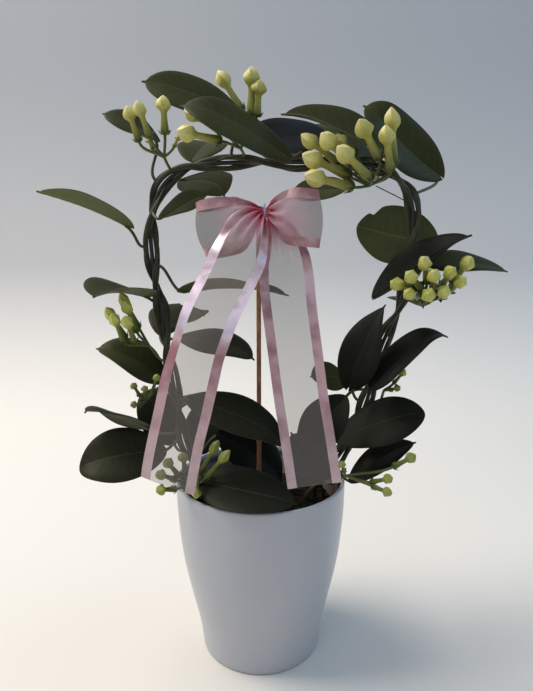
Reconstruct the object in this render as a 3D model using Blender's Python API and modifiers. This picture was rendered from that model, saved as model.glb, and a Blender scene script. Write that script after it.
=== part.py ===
"""Potted stephanotis: a twining plant trained round a wire hoop, in a white cover pot, with a ribbon bow.

The origin is on the surface under the middle of the pot, +Z is up and the front faces -Y.
The lists and sizes below are millimetres. The meshes are scaled to metres as they are made.
"""
import math

import bmesh
import bpy
from mathutils import Vector

MM = 0.001
GAP = 0.3

# Cover pot, a turned shell: (height, radius) pairs down its outside, and its rim
POT_OUTSIDE = (
    (122, 64.8), (103, 63.7), (75, 60.5), (46, 54.6), (31, 51.1), (17, 48.6), (3, 46.8), (0, 45.8),
)
POT_HEIGHT = 140.0
POT_RIM_RADIUS = 65.0
POT_WALL = 2.6
POT_FLOOR = 4.0
POT_INNER_FILLET = 2.5
POT_STEPS = 40

# Grower's pot that stands in the cover pot, and the soil that fills it
GROWER_FOOT_RADIUS = 40.0
GROWER_TOP_RADIUS = 59.0
GROWER_BOTTOM = POT_FLOOR + GAP
GROWER_HEIGHT = 129.0
GROWER_WALL = 1.4
GROWER_LIP_RADIUS = 61.0
GROWER_LIP_HEIGHT = 9.0
GROWER_STEPS = 36
SOIL_TOP = 120.0
SOIL_CROWN = 4.0
# Room left round each stem where it enters the soil
HOOP_CLEARANCE = 1.0
VINE_CLEARANCE = 1.2
STICK_CLEARANCE = 0.4

# Wire hoop: its middle line in the XZ plane, from its left foot in the soil over to its right foot
HOOP_ROUTE = (
    (-42, 70), (-42, 98), (-42, 124), (-48, 142), (-57, 165), (-64, 200), (-69, 235), (-73, 266),
    (-77, 294), (-79, 322), (-77, 340), (-71, 355), (-60, 366), (-45, 372), (-7, 374), (32, 374),
    (68, 373), (86, 370), (97, 363), (105, 354), (109, 341), (110, 326), (108, 302), (103, 273),
    (96, 256), (90, 241), (86, 222), (82, 204), (76, 186), (67, 166), (56, 149), (47, 137),
    (42, 124), (42, 98), (42, 70),
)
WIRE_RADIUS = 1.5
HOOP_STEP = 14.0

# Two vines that twine round the wire, half a turn apart, and spread a little where they leave the soil
VINE_RADIUS = 1.6
VINE_OFFSET = 3.9
VINE_SPREAD = 5.0
VINE_SPREAD_LENGTH = 52.0
VINE_PITCH = 98.0
VINE_STEP = 12.0
BURIED = 54.0
VINE_ROOT = 24.0
VINE_PHASE = {"vine_left": 0.0, "vine_right": math.pi}

# Bamboo stick that carries the bow
STICK_RADIUS = 1.7
STICK_X = -1.0
STICK_Y = -16.0
STICK_FOOT = 70.0
STICK_TOP = 343.0

# Leaves: (name, vine, place along the hoop, stalk, blade, width, way the upper side faces, curve)
# Stalk and blade are vectors, the first from the vine and the second from the end of the stalk.
# Curve is how far the blade arches, how steeply its halves fold up, how far its tip hooks down in
# radians, how far it sways to one side, and how far it twists in radians.
LEAVES = (
    ("leaf_top_left", "vine_right", 348, (7, 14, 26), (-68, -11, 23), 38,
     (0.33, -0.69, 0.65), (0.06, 0.07, 0.11, 0.0, 0.39)),
    ("leaf_top_middle", "vine_left", 397, (-10, -12, -4), (-69, -17, 34), 41,
     (0.47, -0.6, 0.64), (0.05, 0.08, 0.55, -0.02, 0.01)),
    ("leaf_behind_bar", "vine_left", 374, (-16, 10, 16), (62, 8, 5), 34,
     (0.09, -0.9, 0.43), (0.06, 0.06, 0.29, 0.06, 0.5)),
    ("leaf_top_right", "vine_right", 456, (1, 0, 3), (-75, 0, 31), 40,
     (0.32, -0.55, 0.77), (0.06, 0.44, 0.17, 0.0, -0.13)),
    ("leaf_corner_upright", "vine_left", 482.8, (22, 20, 14), (-57, -6, 53), 44,
     (0.37, -0.88, 0.31), (0.01, 0.21, 0.82, -0.08, -0.1)),
    ("leaf_corner_back", "vine_left", 455, (-1, 29, 7), (-41, 19, 38), 38,
     (0.4, -0.58, 0.71), (0.07, 0.07, 0.49, -0.02, -0.04)),
    ("leaf_under_buds", "vine_right", 430, (1, 9, -20), (-41, -5, -4), 28,
     (-0.14, 0.53, 0.84), (0.06, 0.09, 0.07, 0.07, -0.14)),
    ("leaf_far_left", "vine_right", 250, (-9, 0, 14), (-57, -21, 23), 38,
     (0.29, 0.21, 0.93), (0.04, 0.38, -0.06, 0.01, 0.14)),
    ("leaf_left_corner", "vine_right", 306, (2, 3, 0), (30, 28, -5), 44,
     (-0.12, 0.31, 0.94), (0.07, -0.03, 1.44, 0.07, 0.04)),
    ("leaf_left_small", "vine_right", 274, (7, -8, -3), (31, 1, 16), 24,
     (-0.43, 0.37, 0.82), (0.05, 0.12, 0.5, -0.06, 0.41)),
    ("leaf_left_side", "vine_left", 211, (-4, 3, 3), (-27, -46, 4), 48,
     (0.12, 0.02, 0.99), (0.06, 0.33, -0.1, 0.11, -0.08)),
    ("leaf_left_lower", "vine_right", 152, (-1.8, -2.6, -0.9), (-45, -6, 28), 36,
     (0.52, -0.49, 0.7), (0.09, 0.3, 0.56, 0.01, -0.25)),
    ("leaf_left_level", "vine_left", 110, (-21, 0, 4), (-42, -19, 26), 32,
     (0.21, 0.59, 0.78), (0.02, -0.08, 1.26, 0.07, 0.59)),
    ("leaf_left_bottom", "vine_left", 103, (-10, -10, -5), (-61, -17, -6), 42,
     (0.15, -0.75, 0.65), (0.07, 0.18, 0.66, 0.02, -0.22)),
    ("leaf_inner_left", "vine_left", 82, (3, 7, 5), (18, 2, 42), 34,
     (-0.4, -0.9, 0.2), (0.07, 0.16, 0.5, 0.0, 0.0)),
    ("leaf_outer_left", "vine_left", 93, (-8, 9, 4), (-23, 6, 42), 34,
     (0.4, -0.9, 0.2), (0.07, 0.16, 0.5, 0.0, 0.0)),
    ("leaf_inner", "vine_right", 182, (10, -6, 2), (54, -13, -11), 36,
     (0.11, -0.31, 0.94), (0.06, 0.11, 0.51, 0.0, 0.0)),
    ("leaf_behind_stick", "vine_left", 236, (16, 1, -19), (78, 6, -3), 38,
     (0.01, 0.31, 0.95), (0.06, 0.24, 0.06, -0.01, -0.75)),
    ("leaf_inner_small", "vine_right", 191, (9, 3, 3), (20, -21, 11), 17,
     (0.23, 0.62, 0.75), (0.08, 0.19, 1.15, 0.06, -0.64)),
    ("leaf_centre", "vine_left", 135, (10, -20, 5), (71, -14, -27), 35,
     (0.2, -0.56, 0.8), (0.06, 0.16, 0.81, -0.01, 0.34)),
    ("leaf_centre_back", "vine_right", 88, (18, 1, 16), (50, 9, -44), 38,
     (0.51, -0.74, 0.44), (0.07, 0.16, 0.51, -0.04, 0.29)),
    ("leaf_front", "vine_right", 81, (3, -28, 0), (71, -23, -6), 39,
     (-0.1, -0.52, 0.85), (0.06, 0.13, 0.27, 0.04, 0.39)),
    ("leaf_right_face", "vine_right", 525, (17, 9, 10), (-59, 6, 13), 45,
     (0.15, 0.97, 0.21), (0.07, 0.08, 0.48, 0.05, 0.43)),
    ("leaf_right_dark", "vine_left", 541, (-19, -18, -13), (60, -10, 44), 39,
     (-0.6, -0.3, 0.74), (0.02, 0.4, 0.2, -0.01, 0.18)),
    ("leaf_far_right", "vine_right", 541, (7, -4, 11), (55, -9, -5), 32,
     (0.0, -0.46, 0.89), (0.07, 0.15, 0.06, 0.01, 0.39)),
    ("leaf_right_middle", "vine_left", 611, (-6, -13, -11), (47, -8, 47), 34,
     (-0.7, -0.34, 0.63), (0.06, 0.26, 1.32, 0.02, 0.39)),
    ("leaf_right_upright", "vine_left", 621, (-16, -2, -5), (22, -8, 63), 37,
     (-0.65, -0.75, 0.13), (0.07, 0.13, 0.29, 0.01, 1.14)),
    ("leaf_right_under", "vine_left", 641, (-9, 3, 16), (-26, 17, 0), 28,
     (0.48, 0.75, 0.46), (0.05, -0.02, 0.9, -0.01, -0.11)),
    ("leaf_right_hanging", "vine_left", 630, (-18, -24, 0), (-31, -13, -37), 31,
     (-0.15, -0.89, 0.42), (0.05, 0.37, 0.51, 0.02, 0.59)),
    ("leaf_right_lower", "vine_right", 662, (-14, -7, -4), (61, -15, 27), 40,
     (-0.45, -0.48, 0.75), (0.06, 0.09, 0.46, 0.01, -0.35)),
    ("leaf_right_bottom", "vine_left", 696, (9, -9, -4.2), (46, -3, 32), 29,
     (-0.55, -0.33, 0.76), (0.07, 0.17, 0.17, 0.01, 0.22)),
    ("leaf_behind_tail", "vine_right", 676, (-15, -11, -24), (-25, -9, 38), 35,
     (0.15, -0.98, -0.12), (0.09, 0.32, 0.79, -0.01, -0.56)),
    ("leaf_top_corner", "vine_left", 294, (0, 11, 29), (-37, -4, 18), 29,
     (0.43, -0.45, 0.78), (0.06, 0.12, 0.16, 0.01, 0.35)),
    ("leaf_back_low_left", "vine_right", 131, (3, 22, -2), (-14, 42, -24), 34,
     (-0.1, 0.4, 0.9), (0.07, 0.16, 0.5, 0.0, 0.0)),
    ("leaf_back_left", "vine_left", 172, (-8, 13, 10), (9, 42, 19), 28,
     (0.26, -0.45, 0.86), (0.06, -0.05, 0.11, -0.07, 0.31)),
    ("leaf_back_top", "vine_right", 318, (0, 12, 6), (12, 50, 20), 38,
     (0.0, -0.4, 0.9), (0.07, 0.16, 0.5, 0.0, 0.0)),
    ("leaf_back_right", "vine_left", 563, (5, 12, 2), (30, 46, -8), 38,
     (0.0, 0.2, 1.0), (0.07, 0.16, 0.5, 0.0, 0.0)),
    ("leaf_back_low_right", "vine_right", 613, (4, 12, 0), (14, 46, -22), 36,
     (0.0, 0.5, 0.9), (0.07, 0.16, 0.5, 0.0, 0.0)),
)
BLADE_STATIONS = (0.0, 0.07, 0.2, 0.4, 0.6, 0.76, 0.87, 0.95, 1.0)
STALK_STATIONS = (0.0, 0.4, 0.75)
STALK_RADIUS = 1.15
HOOK_START = 0.74
RIB_THICKNESS = 1.4
EDGE_THICKNESS = 0.8
TIP_HALF_WIDTH = 0.8

# Bud clusters: (name, vine, place along the hoop, stalk, buds)
# Each bud is (foot from the end of the stalk, vector from foot to tip, radius of its head).
BUD_CLUSTERS = (
    ("buds_top_left", "vine_left", 306, (-3, -5, 7), (
        ((-16.1, -4, 9.5), (-5.5, -8, 21.7), 4.2), ((-7.4, -10, 11.1), (-6.1, -9, 21.7), 4.3),
        ((2, -6, 13.7), (0.4, -5, 24.2), 4.9), ((-7, -3, 5), (-3, -2, 7), 2.4),
        ((7, 0, 7), (4, -2, 7), 2.4))),
    ("buds_top_middle", "vine_right", 357, (-2, -8, 4), (
        ((-12.4, -12.5, 3), (-26.8, -15, 4.1), 5.4), ((-11.8, -0.5, 10.2), (-25.7, -2, 14.6), 4.9),
        ((0.1, 35.5, 30.5), (-18.0, 3.0, 28.7), 5.3), ((6.9, 8.5, 22.4), (0.9, -2, 31.5), 5.5),
        ((10.7, 8.5, 21.8), (2.5, -6, 22.9), 5.2))),
    ("buds_top_right", "vine_left", 435, (8, -13, -11), (
        ((16.2, -0.8, 13.6), (-4.3, -5, 36.4), 5.2), ((12.2, -7.8, 8.4), (-6.1, -10, 28.3), 5.3),
        ((4.4, -8.8, 16), (-16.1, -14, 23.2), 5.9), ((-0.8, -10.8, 3.6), (-24.9, -16, 18.7), 5.8),
        ((-13.1, -6.8, 12.3), (-22.3, -14, 18.8), 5.9), ((-13.7, -2.8, 5.6), (-33.3, -12, 13.4), 5.7),
        ((-12, -6.8, -1.2), (-33.9, -14, 6.5), 5.8), ((-9.6, 0.2, 20.2), (-15.1, -11, 11.8), 4.4),
        ((-19.9, 3.2, 14.7), (-27.4, -8, 18.3), 5.0))),
    ("buds_right", "vine_right", 556, (5, -15, -2), (
        ((-5.1, -7.9, 12.1), (-22.4, -24, 5.5), 4.4), ((-3, -12.9, 12.6), (-15.4, -25, 11.8), 4.4),
        ((1.1, -11.9, 15.9), (-9.4, -24, 18.4), 4.4), ((5.4, -11.9, 11.1), (-7.7, -27, 14.6), 4.4),
        ((11.9, -7.9, 12.8), (-0.8, -26, 14.5), 4.4), ((20.9, -2.9, 15.1), (6, -19, 18.6), 4.9),
        ((17.6, -7.9, 10), (1.6, -24, 10.2), 4.3), ((11.4, -10.9, 6.3), (-5.8, -27, 7.4), 4.4),
        ((3.4, -12.9, 5.8), (-9, -27, 5.6), 4.6), ((-2.9, -10.9, 6.3), (-15.9, -26, 5.4), 4.1))),
    ("buds_left", "vine_right", 166, (-10, -7, 13), (
        ((-6.4, -1.6, 13.3), (-9.6, -11, 26.6), 3.7), ((-6.9, -6.6, 11.2), (-4.9, -13, 24.3), 3.8),
        ((-15.4, -4.6, 6.5), (-9.5, -13, 24), 3.8), ((-15.7, -9.6, 4.5), (-2.6, -18, 23.2), 3.8),
        ((-7.5, -11.6, 4.2), (-1.2, -20, 22.1), 3.9))),
    ("buds_left_low", "vine_right", 147, (-12, -14.2, -8), (
        ((-4, -3, 4), (-4, -5, 11), 2.6), ((1, -6, 5), (1, -8, 9), 2.6),
        ((5, -1, 7), (5, -4, 14), 2.6), ((-2, -7, -1), (-5, -11, 3), 2.6))),
    ("buds_bottom_left", "vine_right", 69, (-4, -27, 10), (
        ((-7.3, -3, 5.1), (-11.6, -12, 10.5), 3.8), ((-5.5, 0, 6.8), (-8, -9, 16.6), 3.8),
        ((-1.3, 1, 7.9), (-0.1, -6, 19.1), 3.8), ((-7, -6, -0.4), (-11.9, -11, 4.4), 3.9),
        ((9.2, -9, 10.8), (-0.7, -8, -13.4), 3.4), ((10, -3, 10.4), (14.4, -6, 26.9), 3.4),
        ((13.9, -7, 7.7), (18.4, -8, 24.7), 3.4))),
    ("buds_bottom_right", "vine_left", 707, (10, -33, 18), (
        ((32.3, -4.2, 8.4), (13.4, -8, 12), 3.7), ((16.8, -7.2, -1.4), (12.3, -12, 8.3), 3.3),
        ((17.2, -9.2, -3.4), (10.8, -14, 0.7), 3.3), ((-2, -6, 6), (-3, -8, 10), 2.6))),
    ("buds_right_low", "vine_right", 641, (7, -5, 14), (
        ((6, -3, 6), (7, -6, 12), 2.6), ((3, -6, 2), (4, -12, 5), 2.6))),
)
BUD_SIDES = 5
PEDICEL_RADIUS = 1.0
PEDUNCLE_RADIUS = 1.4
PEDUNCLE_STATIONS = (0.0, 0.35, 0.7, 1.0)
KNOB_RADIUS = 2.6
# Outline of a bud: (share of its length, share of its head's radius)
BUD_OUTLINE = ((0.0, 0.62), (0.55, 0.45), (0.73, 1.0), (0.87, 0.82), (1.0, 0.1))

# Ribbon bow: each station is (middle of the ribbon, vector from the middle to one edge)
RIBBON_THICKNESS = 0.8
KNOT_CENTRE = (3.2, -24.0, 338.6)
KNOT_SIZE = (5.2, 9.0, 8.6)
KNOT_ROUNDING = 1.6
RIBBONS = (
    ("bow_loop_left", (
        ((0.2, -27.0, 338.9), (0.0, -0.0, 2.6)), ((-5.1, -31.0, 336.8), (-1.3, -0.0, 8.4)),
        ((-13.3, -34.2, 332.5), (-2.2, -0.3, 15.1)), ((-22.1, -35.7, 330.2), (-2.4, -0.2, 18.0)),
        ((-31.3, -35.5, 328.5), (-2.3, -0.5, 18.4)), ((-37.5, -33.8, 327.3), (-2.9, -0.2, 18.2)),
        ((-40.7, -30.8, 326.3), (-3.1, -0.2, 17.7)), ((-37.8, -28.0, 326.6), (-3.3, -0.0, 18.7)),
        ((-28.8, -26.5, 327.4), (-2.8, -0.0, 18.8)), ((-16.7, -25.0, 330.1), (-3.2, -0.0, 18.4)),
        ((-6.3, -23.5, 333.9), (-1.6, -0.0, 12.1)), ((0.2, -22.0, 339.1), (0.0, -0.0, 2.6)))),
    ("bow_loop_right", (
        ((6.4, -27.0, 338.9), (-0.0, -0.0, 2.6)), ((9.1, -31.0, 336.8), (0.3, -0.0, 10.4)),
        ((14.7, -34.2, 336.2), (0.6, -0.3, 15.6)), ((22.5, -35.7, 335.6), (0.5, -0.2, 18.2)),
        ((31.7, -35.5, 335.0), (-0.3, -0.0, 18.9)), ((38.1, -33.5, 334.4), (-0.6, -0.0, 18.7)),
        ((40.9, -31.0, 333.9), (-0.5, -0.0, 18.3)), ((38.3, -28.0, 334.2), (-0.3, -0.0, 18.3)),
        ((29.3, -26.5, 334.9), (0.1, -0.0, 18.4)), ((19.0, -25.0, 335.3), (0.6, -0.0, 16.8)),
        ((10.6, -23.6, 336.4), (0.3, -0.0, 10.6)), ((6.5, -22.2, 339.1), (-0.0, -0.0, 2.6)))),
    ("bow_tail_left", (
        ((0.8, -29.5, 337.7), (0.9, 0.0, -1.5)), ((-1.1, -33.0, 336.5), (5.3, 0.0, -4.2)),
        ((-4.5, -37.7, 332.2), (9.5, 0.2, -7.0)), ((-8.3, -41.7, 325.3), (13.4, -0.8, -7.2)),
        ((-12.7, -44.7, 313.8), (16.2, -2.8, -6.9)), ((-17.8, -48.5, 302.2), (17.1, -4.8, -6.8)),
        ((-23.7, -52.5, 290.3), (17.0, -5.6, -6.3)), ((-30.0, -56.8, 278.1), (17.1, -5.5, -6.2)),
        ((-35.9, -60.5, 263.6), (17.0, -4.0, -5.5)), ((-41.1, -62.2, 248.0), (17.3, -2.2, -3.4)),
        ((-45.9, -62.5, 229.2), (18.5, -1.5, -1.9)), ((-50.9, -61.8, 208.4), (18.9, -1.2, -1.6)),
        ((-55.7, -61.0, 189.6), (19.0, -0.9, -1.0)), ((-59.3, -60.5, 173.2), (18.7, -1.0, -3.0)),
        ((-62.3, -60.0, 157.6), (17.9, -1.0, -6.4)))),
    ("bow_tail_right", (
        ((5.3, -20.8, 333.2), (1.0, 0.0, 0.3)), ((9.1, -20.2, 332.8), (5.3, 0.0, 3.7)),
        ((13.2, -20.2, 328.0), (9.1, 0.0, 2.9)), ((15.8, -20.4, 320.1), (12.3, 0.0, 2.4)),
        ((17.2, -21.3, 310.9), (15.5, 0.2, 2.0)), ((17.9, -23.5, 300.2), (17.5, 0.5, 1.3)),
        ((18.8, -27.0, 287.4), (18.7, 1.0, 0.6)), ((20.3, -31.0, 273.4), (18.9, 2.0, -0.3)),
        ((22.5, -35.5, 256.9), (18.8, 2.4, -0.4)), ((25.1, -40.7, 237.1), (18.8, 2.7, -0.6)),
        ((28.0, -46.0, 215.4), (18.8, 2.9, -0.9)), ((31.3, -50.5, 195.3), (18.7, 3.4, -0.2)),
        ((34.4, -54.5, 175.7), (18.7, 3.4, 0.0)), ((37.2, -57.8, 157.3), (18.6, 3.7, 0.8)))),
)

# Thin wire that ties the bow's knot to the stick: a closed loop through these points
TIE_RADIUS = 0.45
TIE_ROUTE = (
    (3.2, -29.5, 338.6), (3.2, -29.0, 343.3), (3.2, -24.0, 344.0), (3.1, -19.1, 343.3),
    (1.7, -15.6, 342.0), (-1.0, -13.4, 340.4), (-3.7, -15.8, 338.4), (-3.0, -18.3, 336.6),
    (-0.2, -18.5, 334.9), (2.9, -18.9, 333.7), (3.2, -24.0, 333.2), (3.2, -29.0, 334.0),
)

# Materials: base colour, roughness, metallic
MATERIALS = {
    "pot_glaze": ((0.62, 0.63, 0.64), 0.45, 0.0),
    "grower_plastic": ((0.36, 0.14, 0.08), 0.6, 0.0),
    "soil": ((0.045, 0.028, 0.018), 1.0, 0.0),
    "hoop_wire": ((0.05, 0.07, 0.04), 0.5, 0.0),
    "stick_wood": ((0.3, 0.15, 0.07), 0.7, 0.0),
    "vine_bark": ((0.05, 0.06, 0.03), 0.7, 0.0),
    "leaf_green": ((0.02, 0.035, 0.012), 0.35, 0.0),
    "bud_green": ((0.42, 0.45, 0.16), 0.5, 0.0),
    "ribbon_satin": ((0.6, 0.28, 0.36), 0.4, 0.0),
    "ribbon_sheer": ((0.66, 0.4, 0.46), 0.6, 0.0),
    "tie_blue": ((0.45, 0.6, 0.7), 0.4, 0.0),
}


def clear_scene():
    """Start from an empty scene."""
    for obj in list(bpy.data.objects):
        bpy.data.objects.remove(obj, do_unlink=True)


def new_collection(name):
    """A collection linked to the scene."""
    collection = bpy.data.collections.new(name)
    bpy.context.scene.collection.children.link(collection)
    return collection


def make_materials():
    """One Principled material for each entry of MATERIALS."""
    for name, (colour, roughness, metallic) in MATERIALS.items():
        material = bpy.data.materials.new(name)
        material.use_nodes = True
        shader = material.node_tree.nodes["Principled BSDF"]
        shader.inputs["Base Color"].default_value = (*colour, 1.0)
        shader.inputs["Roughness"].default_value = roughness
        shader.inputs["Metallic"].default_value = metallic


def metres(point):
    """A point given in millimetres, as a vector in metres."""
    return Vector(point) * MM


def add_object(name, data, material, collection):
    """Link an object that holds data and wears one material."""
    obj = bpy.data.objects.new(name, data)
    data.materials.append(bpy.data.materials[material])
    collection.objects.link(obj)
    return obj


def finish_mesh(name, shape, material, collection):
    """Turn a bmesh into a smooth object, sharp only at real edges."""
    bmesh.ops.recalc_face_normals(shape, faces=shape.faces)
    if shape.calc_volume(signed=True) < 0:
        bmesh.ops.reverse_faces(shape, faces=shape.faces)
    mesh = bpy.data.meshes.new(name)
    shape.to_mesh(mesh)
    shape.free()
    mesh.shade_smooth()
    mesh.set_sharp_from_angle(angle=math.radians(40))
    return add_object(name, mesh, material, collection)


def smooth_route(points, steps):
    """Points on a Catmull-Rom curve through the given points."""
    points = [Vector(point) for point in points]
    route = []
    for i in range(len(points) - 1):
        before = points[max(i - 1, 0)]
        start, end = points[i], points[i + 1]
        after = points[min(i + 2, len(points) - 1)]
        for k in range(steps):
            t = k / steps
            route.append(0.5 * (2 * start + (end - before) * t
                                + (2 * before - 5 * start + 4 * end - after) * t ** 2
                                + (3 * start - before - 3 * end + after) * t ** 3))
    route.append(points[-1])
    return route


class Route:
    """A smooth line that can be read at any distance along it."""

    def __init__(self, points):
        self.points = smooth_route(points, 12)
        self.places = [0.0]
        for start, end in zip(self.points, self.points[1:]):
            self.places.append(self.places[-1] + (end - start).length)
        self.length = self.places[-1]

    def at(self, place):
        """The point at a distance along the line."""
        place = min(max(place, 0.0), self.length)
        i = 1
        while i < len(self.places) - 1 and self.places[i] < place:
            i += 1
        share = (place - self.places[i - 1]) / (self.places[i] - self.places[i - 1])
        return self.points[i - 1].lerp(self.points[i], share)

    def along(self, place):
        """The direction of the line at a distance along it."""
        return (self.at(place + 1.0) - self.at(place - 1.0)).normalized()


HOOP = Route([(x, 0, z) for x, z in HOOP_ROUTE])


def vine_at(vine, place):
    """Middle of a vine at a place along the hoop, and the way that it lies from the wire."""
    turning = min(max(place, BURIED), HOOP.length - BURIED)
    angle = 2 * math.pi * turning / VINE_PITCH + VINE_PHASE[vine]
    along = HOOP.along(place)
    outward = Vector((-along.z, 0, along.x))
    way = math.cos(angle) * outward + math.sin(angle) * Vector((0, -1, 0))
    above_soil = min(turning - BURIED, HOOP.length - BURIED - turning)
    near_soil = max(0.0, 1.0 - above_soil / VINE_SPREAD_LENGTH)
    return HOOP.at(place) + way * (VINE_OFFSET + VINE_SPREAD * near_soil ** 2), way


def seat_on_vine(vine, place):
    """Where a stalk starts on a vine, just clear of it, and the way that it leaves."""
    middle, way = vine_at(vine, place)
    return middle + way * (VINE_RADIUS + GAP), way


def tube(name, points, radius, material, collection, cyclic=False):
    """A round wire or stem as a curve object, six-sided, through the points."""
    curve = bpy.data.curves.new(name, "CURVE")
    curve.dimensions = "3D"
    curve.bevel_depth = radius * MM
    curve.bevel_resolution = 1
    curve.use_fill_caps = not cyclic
    spline = curve.splines.new("POLY")
    spline.points.add(len(points) - 1)
    for point, place in zip(spline.points, points):
        point.co = (*metres(place), 1.0)
    spline.use_cyclic_u = cyclic
    return add_object(name, curve, material, collection)


def evaluated_mesh(obj):
    """A plain mesh of what an object's modifiers or bevel make, in world space."""
    graph = bpy.context.evaluated_depsgraph_get()
    graph.update()
    shape = bmesh.new()
    mesh = bpy.data.meshes.new_from_object(obj.evaluated_get(graph))
    shape.from_mesh(mesh)
    shape.transform(obj.matrix_world)
    bmesh.ops.remove_doubles(shape, verts=shape.verts, dist=0.000001)
    bpy.data.meshes.remove(mesh)
    return shape


def turned(name, profile, steps, material, collection):
    """A turned solid: a profile of (radius, height) pairs, top to bottom down its outer side."""
    shape = bmesh.new()
    corners = [shape.verts.new(metres((radius, 0, height))) for radius, height in profile]
    for start, end in zip(corners, corners[1:]):
        shape.edges.new((start, end))
    mesh = bpy.data.meshes.new(name)
    shape.to_mesh(mesh)
    shape.free()
    obj = add_object(name, mesh, material, collection)
    screw = obj.modifiers.new("turn", "SCREW")
    screw.axis = "Z"
    screw.angle = 2 * math.pi
    screw.steps = steps
    screw.render_steps = steps
    screw.use_merge_vertices = True
    screw.merge_threshold = 0.00005
    screw.use_smooth_shade = True
    return obj


def loft(rings):
    """A closed shape through rings of equal length, with its upper and lower halves split alike."""
    shape = bmesh.new()
    corners = [[shape.verts.new(point * MM) for point in ring] for ring in rings]
    count = len(rings[0])
    upper = count // 2 - 1
    for near, far in zip(corners, corners[1:]):
        for j in range(count):
            k = (j + 1) % count
            if j < upper:
                shape.faces.new((near[j], near[k], far[k]))
                shape.faces.new((near[j], far[k], far[j]))
            else:
                shape.faces.new((near[j], near[k], far[j]))
                shape.faces.new((near[k], far[k], far[j]))
    shape.faces.new(corners[0])
    shape.faces.new(corners[-1])
    return shape


def bezier(points, t):
    """A point on a cubic Bezier curve."""
    a, b, c, d = points
    s = 1 - t
    return a * s ** 3 + b * (3 * s * s * t) + c * (3 * s * t * t) + d * t ** 3


def bezier_way(points, t):
    """The direction of a cubic Bezier curve."""
    a, b, c, d = points
    s = 1 - t
    return ((b - a) * (s * s) + (c - b) * (2 * s * t) + (d - c) * (t * t)).normalized()


def blade_half_width(t, width):
    """Half the blade's width at a share of its length: a blunt ellipse with a short point."""
    return max(TIP_HALF_WIDTH, width / 2 * (4 * t * (1 - t)) ** 0.6)


def hooked(t, length, hook):
    """How far out and how far down a hooked tip reaches, and how far it has turned down."""
    if t <= HOOK_START:
        return length * t, 0.0, 0.0
    turned_down = hook * (t - HOOK_START) / (1 - HOOK_START)
    if abs(hook) < 0.01:
        return length * t, 0.0, 0.0
    radius = (1 - HOOK_START) * length / hook
    out = length * HOOK_START + radius * math.sin(turned_down)
    return out, radius * (1 - math.cos(turned_down)), turned_down


def blade_ring(t, start, blade, width, normal, side, curve):
    """One cross-section of a blade: three points over its top and three back under it."""
    arch, fold, hook, sway, twist = curve
    length = blade.length
    forward = blade / length
    out, drop, bent = hooked(t, length, hook)
    rise = 4 * arch * length * t * (1 - t)
    middle = start + forward * out + normal * (rise - drop) + side * (4 * sway * length * t * (1 - t))
    slope = 4 * arch * (1 - 2 * t) - math.tan(min(bent, 1.4))
    upward = normal * math.cos(bent) + forward * math.sin(bent)
    turn = twist * (t - 0.3)
    across_way = side * math.cos(turn) + upward * math.sin(turn)
    upward = upward * math.cos(turn) - side * math.sin(turn)
    skin = (normal - forward * slope).normalized() * math.cos(turn) - side * math.sin(turn)
    half = blade_half_width(t, width)
    top, bottom = [], []
    for across in (-1, 0, 1):
        lift = fold * half * abs(across)
        thickness = EDGE_THICKNESS + (RIB_THICKNESS - EDGE_THICKNESS) * (1 - abs(across)) * (1 - 0.6 * t)
        point = middle + across_way * (half * across) + upward * lift
        top.append(point + skin * (thickness / 2))
        bottom.append(point - skin * (thickness / 2))
    return top + bottom[::-1]


def stalk_ring(middle, side, upward, radius):
    """A round cross-section whose points match a blade's."""
    angles = [150, 90, 30, -30, -90, -150]
    turns = [math.radians(angle) for angle in angles]
    return [middle + radius * (math.cos(turn) * side + math.sin(turn) * upward) for turn in turns]


def leaf(name, vine, place, stalk, blade, width, faces, curve, collection):
    """A leaf as one body: a round stalk that runs into a blade with a rib, a fold and a hooked tip."""
    seat, way = seat_on_vine(vine, place)
    start = seat + Vector(stalk)
    blade = Vector(blade)
    forward = blade.normalized()
    normal = Vector(faces)
    normal = (normal - forward * normal.dot(forward)).normalized()
    side = forward.cross(normal)
    slope = 4 * curve[0]
    base_way = (forward + normal * slope).normalized()
    base_up = (normal - forward * slope).normalized()
    reach = Vector(stalk).length
    bend = (seat, seat + way * (0.4 * reach),
            start - base_way * min(max(0.5 * reach, 3.0), 8.0) - base_up * (0.1 * reach), start)
    rings = []
    last, across, above = base_way, side, base_up
    for t in reversed(STALK_STATIONS):
        here = bezier_way(bend, t)
        turn = last.rotation_difference(here)
        last, across, above = here, turn @ across, turn @ above
        rings.insert(0, stalk_ring(bezier(bend, t), across, above, STALK_RADIUS))
    rings += [blade_ring(t, start, blade, width, normal, side, curve) for t in BLADE_STATIONS]
    return finish_mesh(name, loft(rings), "leaf_green", collection)


def round_ring(middle, way, radius):
    """A ring of points round a direction."""
    turn = Vector((0, 0, 1)).rotation_difference(way)
    angles = [2 * math.pi * i / BUD_SIDES for i in range(BUD_SIDES)]
    return [middle + turn @ Vector((radius * math.cos(a), radius * math.sin(a), 0)) for a in angles]


def bud(centre, foot, tip_vector, head):
    """One bud on its pedicel, as a closed shape that starts inside the cluster's knob."""
    foot = centre + Vector(foot)
    tip_vector = Vector(tip_vector)
    way = tip_vector.normalized()
    reach = (foot - centre).length
    bend = (centre, centre.lerp(foot, 0.4), foot - way * (0.35 * reach), foot - way * 1.6)
    rings = [round_ring(bezier(bend, t), bezier_way(bend, t), PEDICEL_RADIUS) for t in (0.0, 0.75)]
    for share, size in BUD_OUTLINE:
        rings.append(round_ring(foot + tip_vector * share, way, max(0.35, head * size)))
    return loft(rings)


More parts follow.
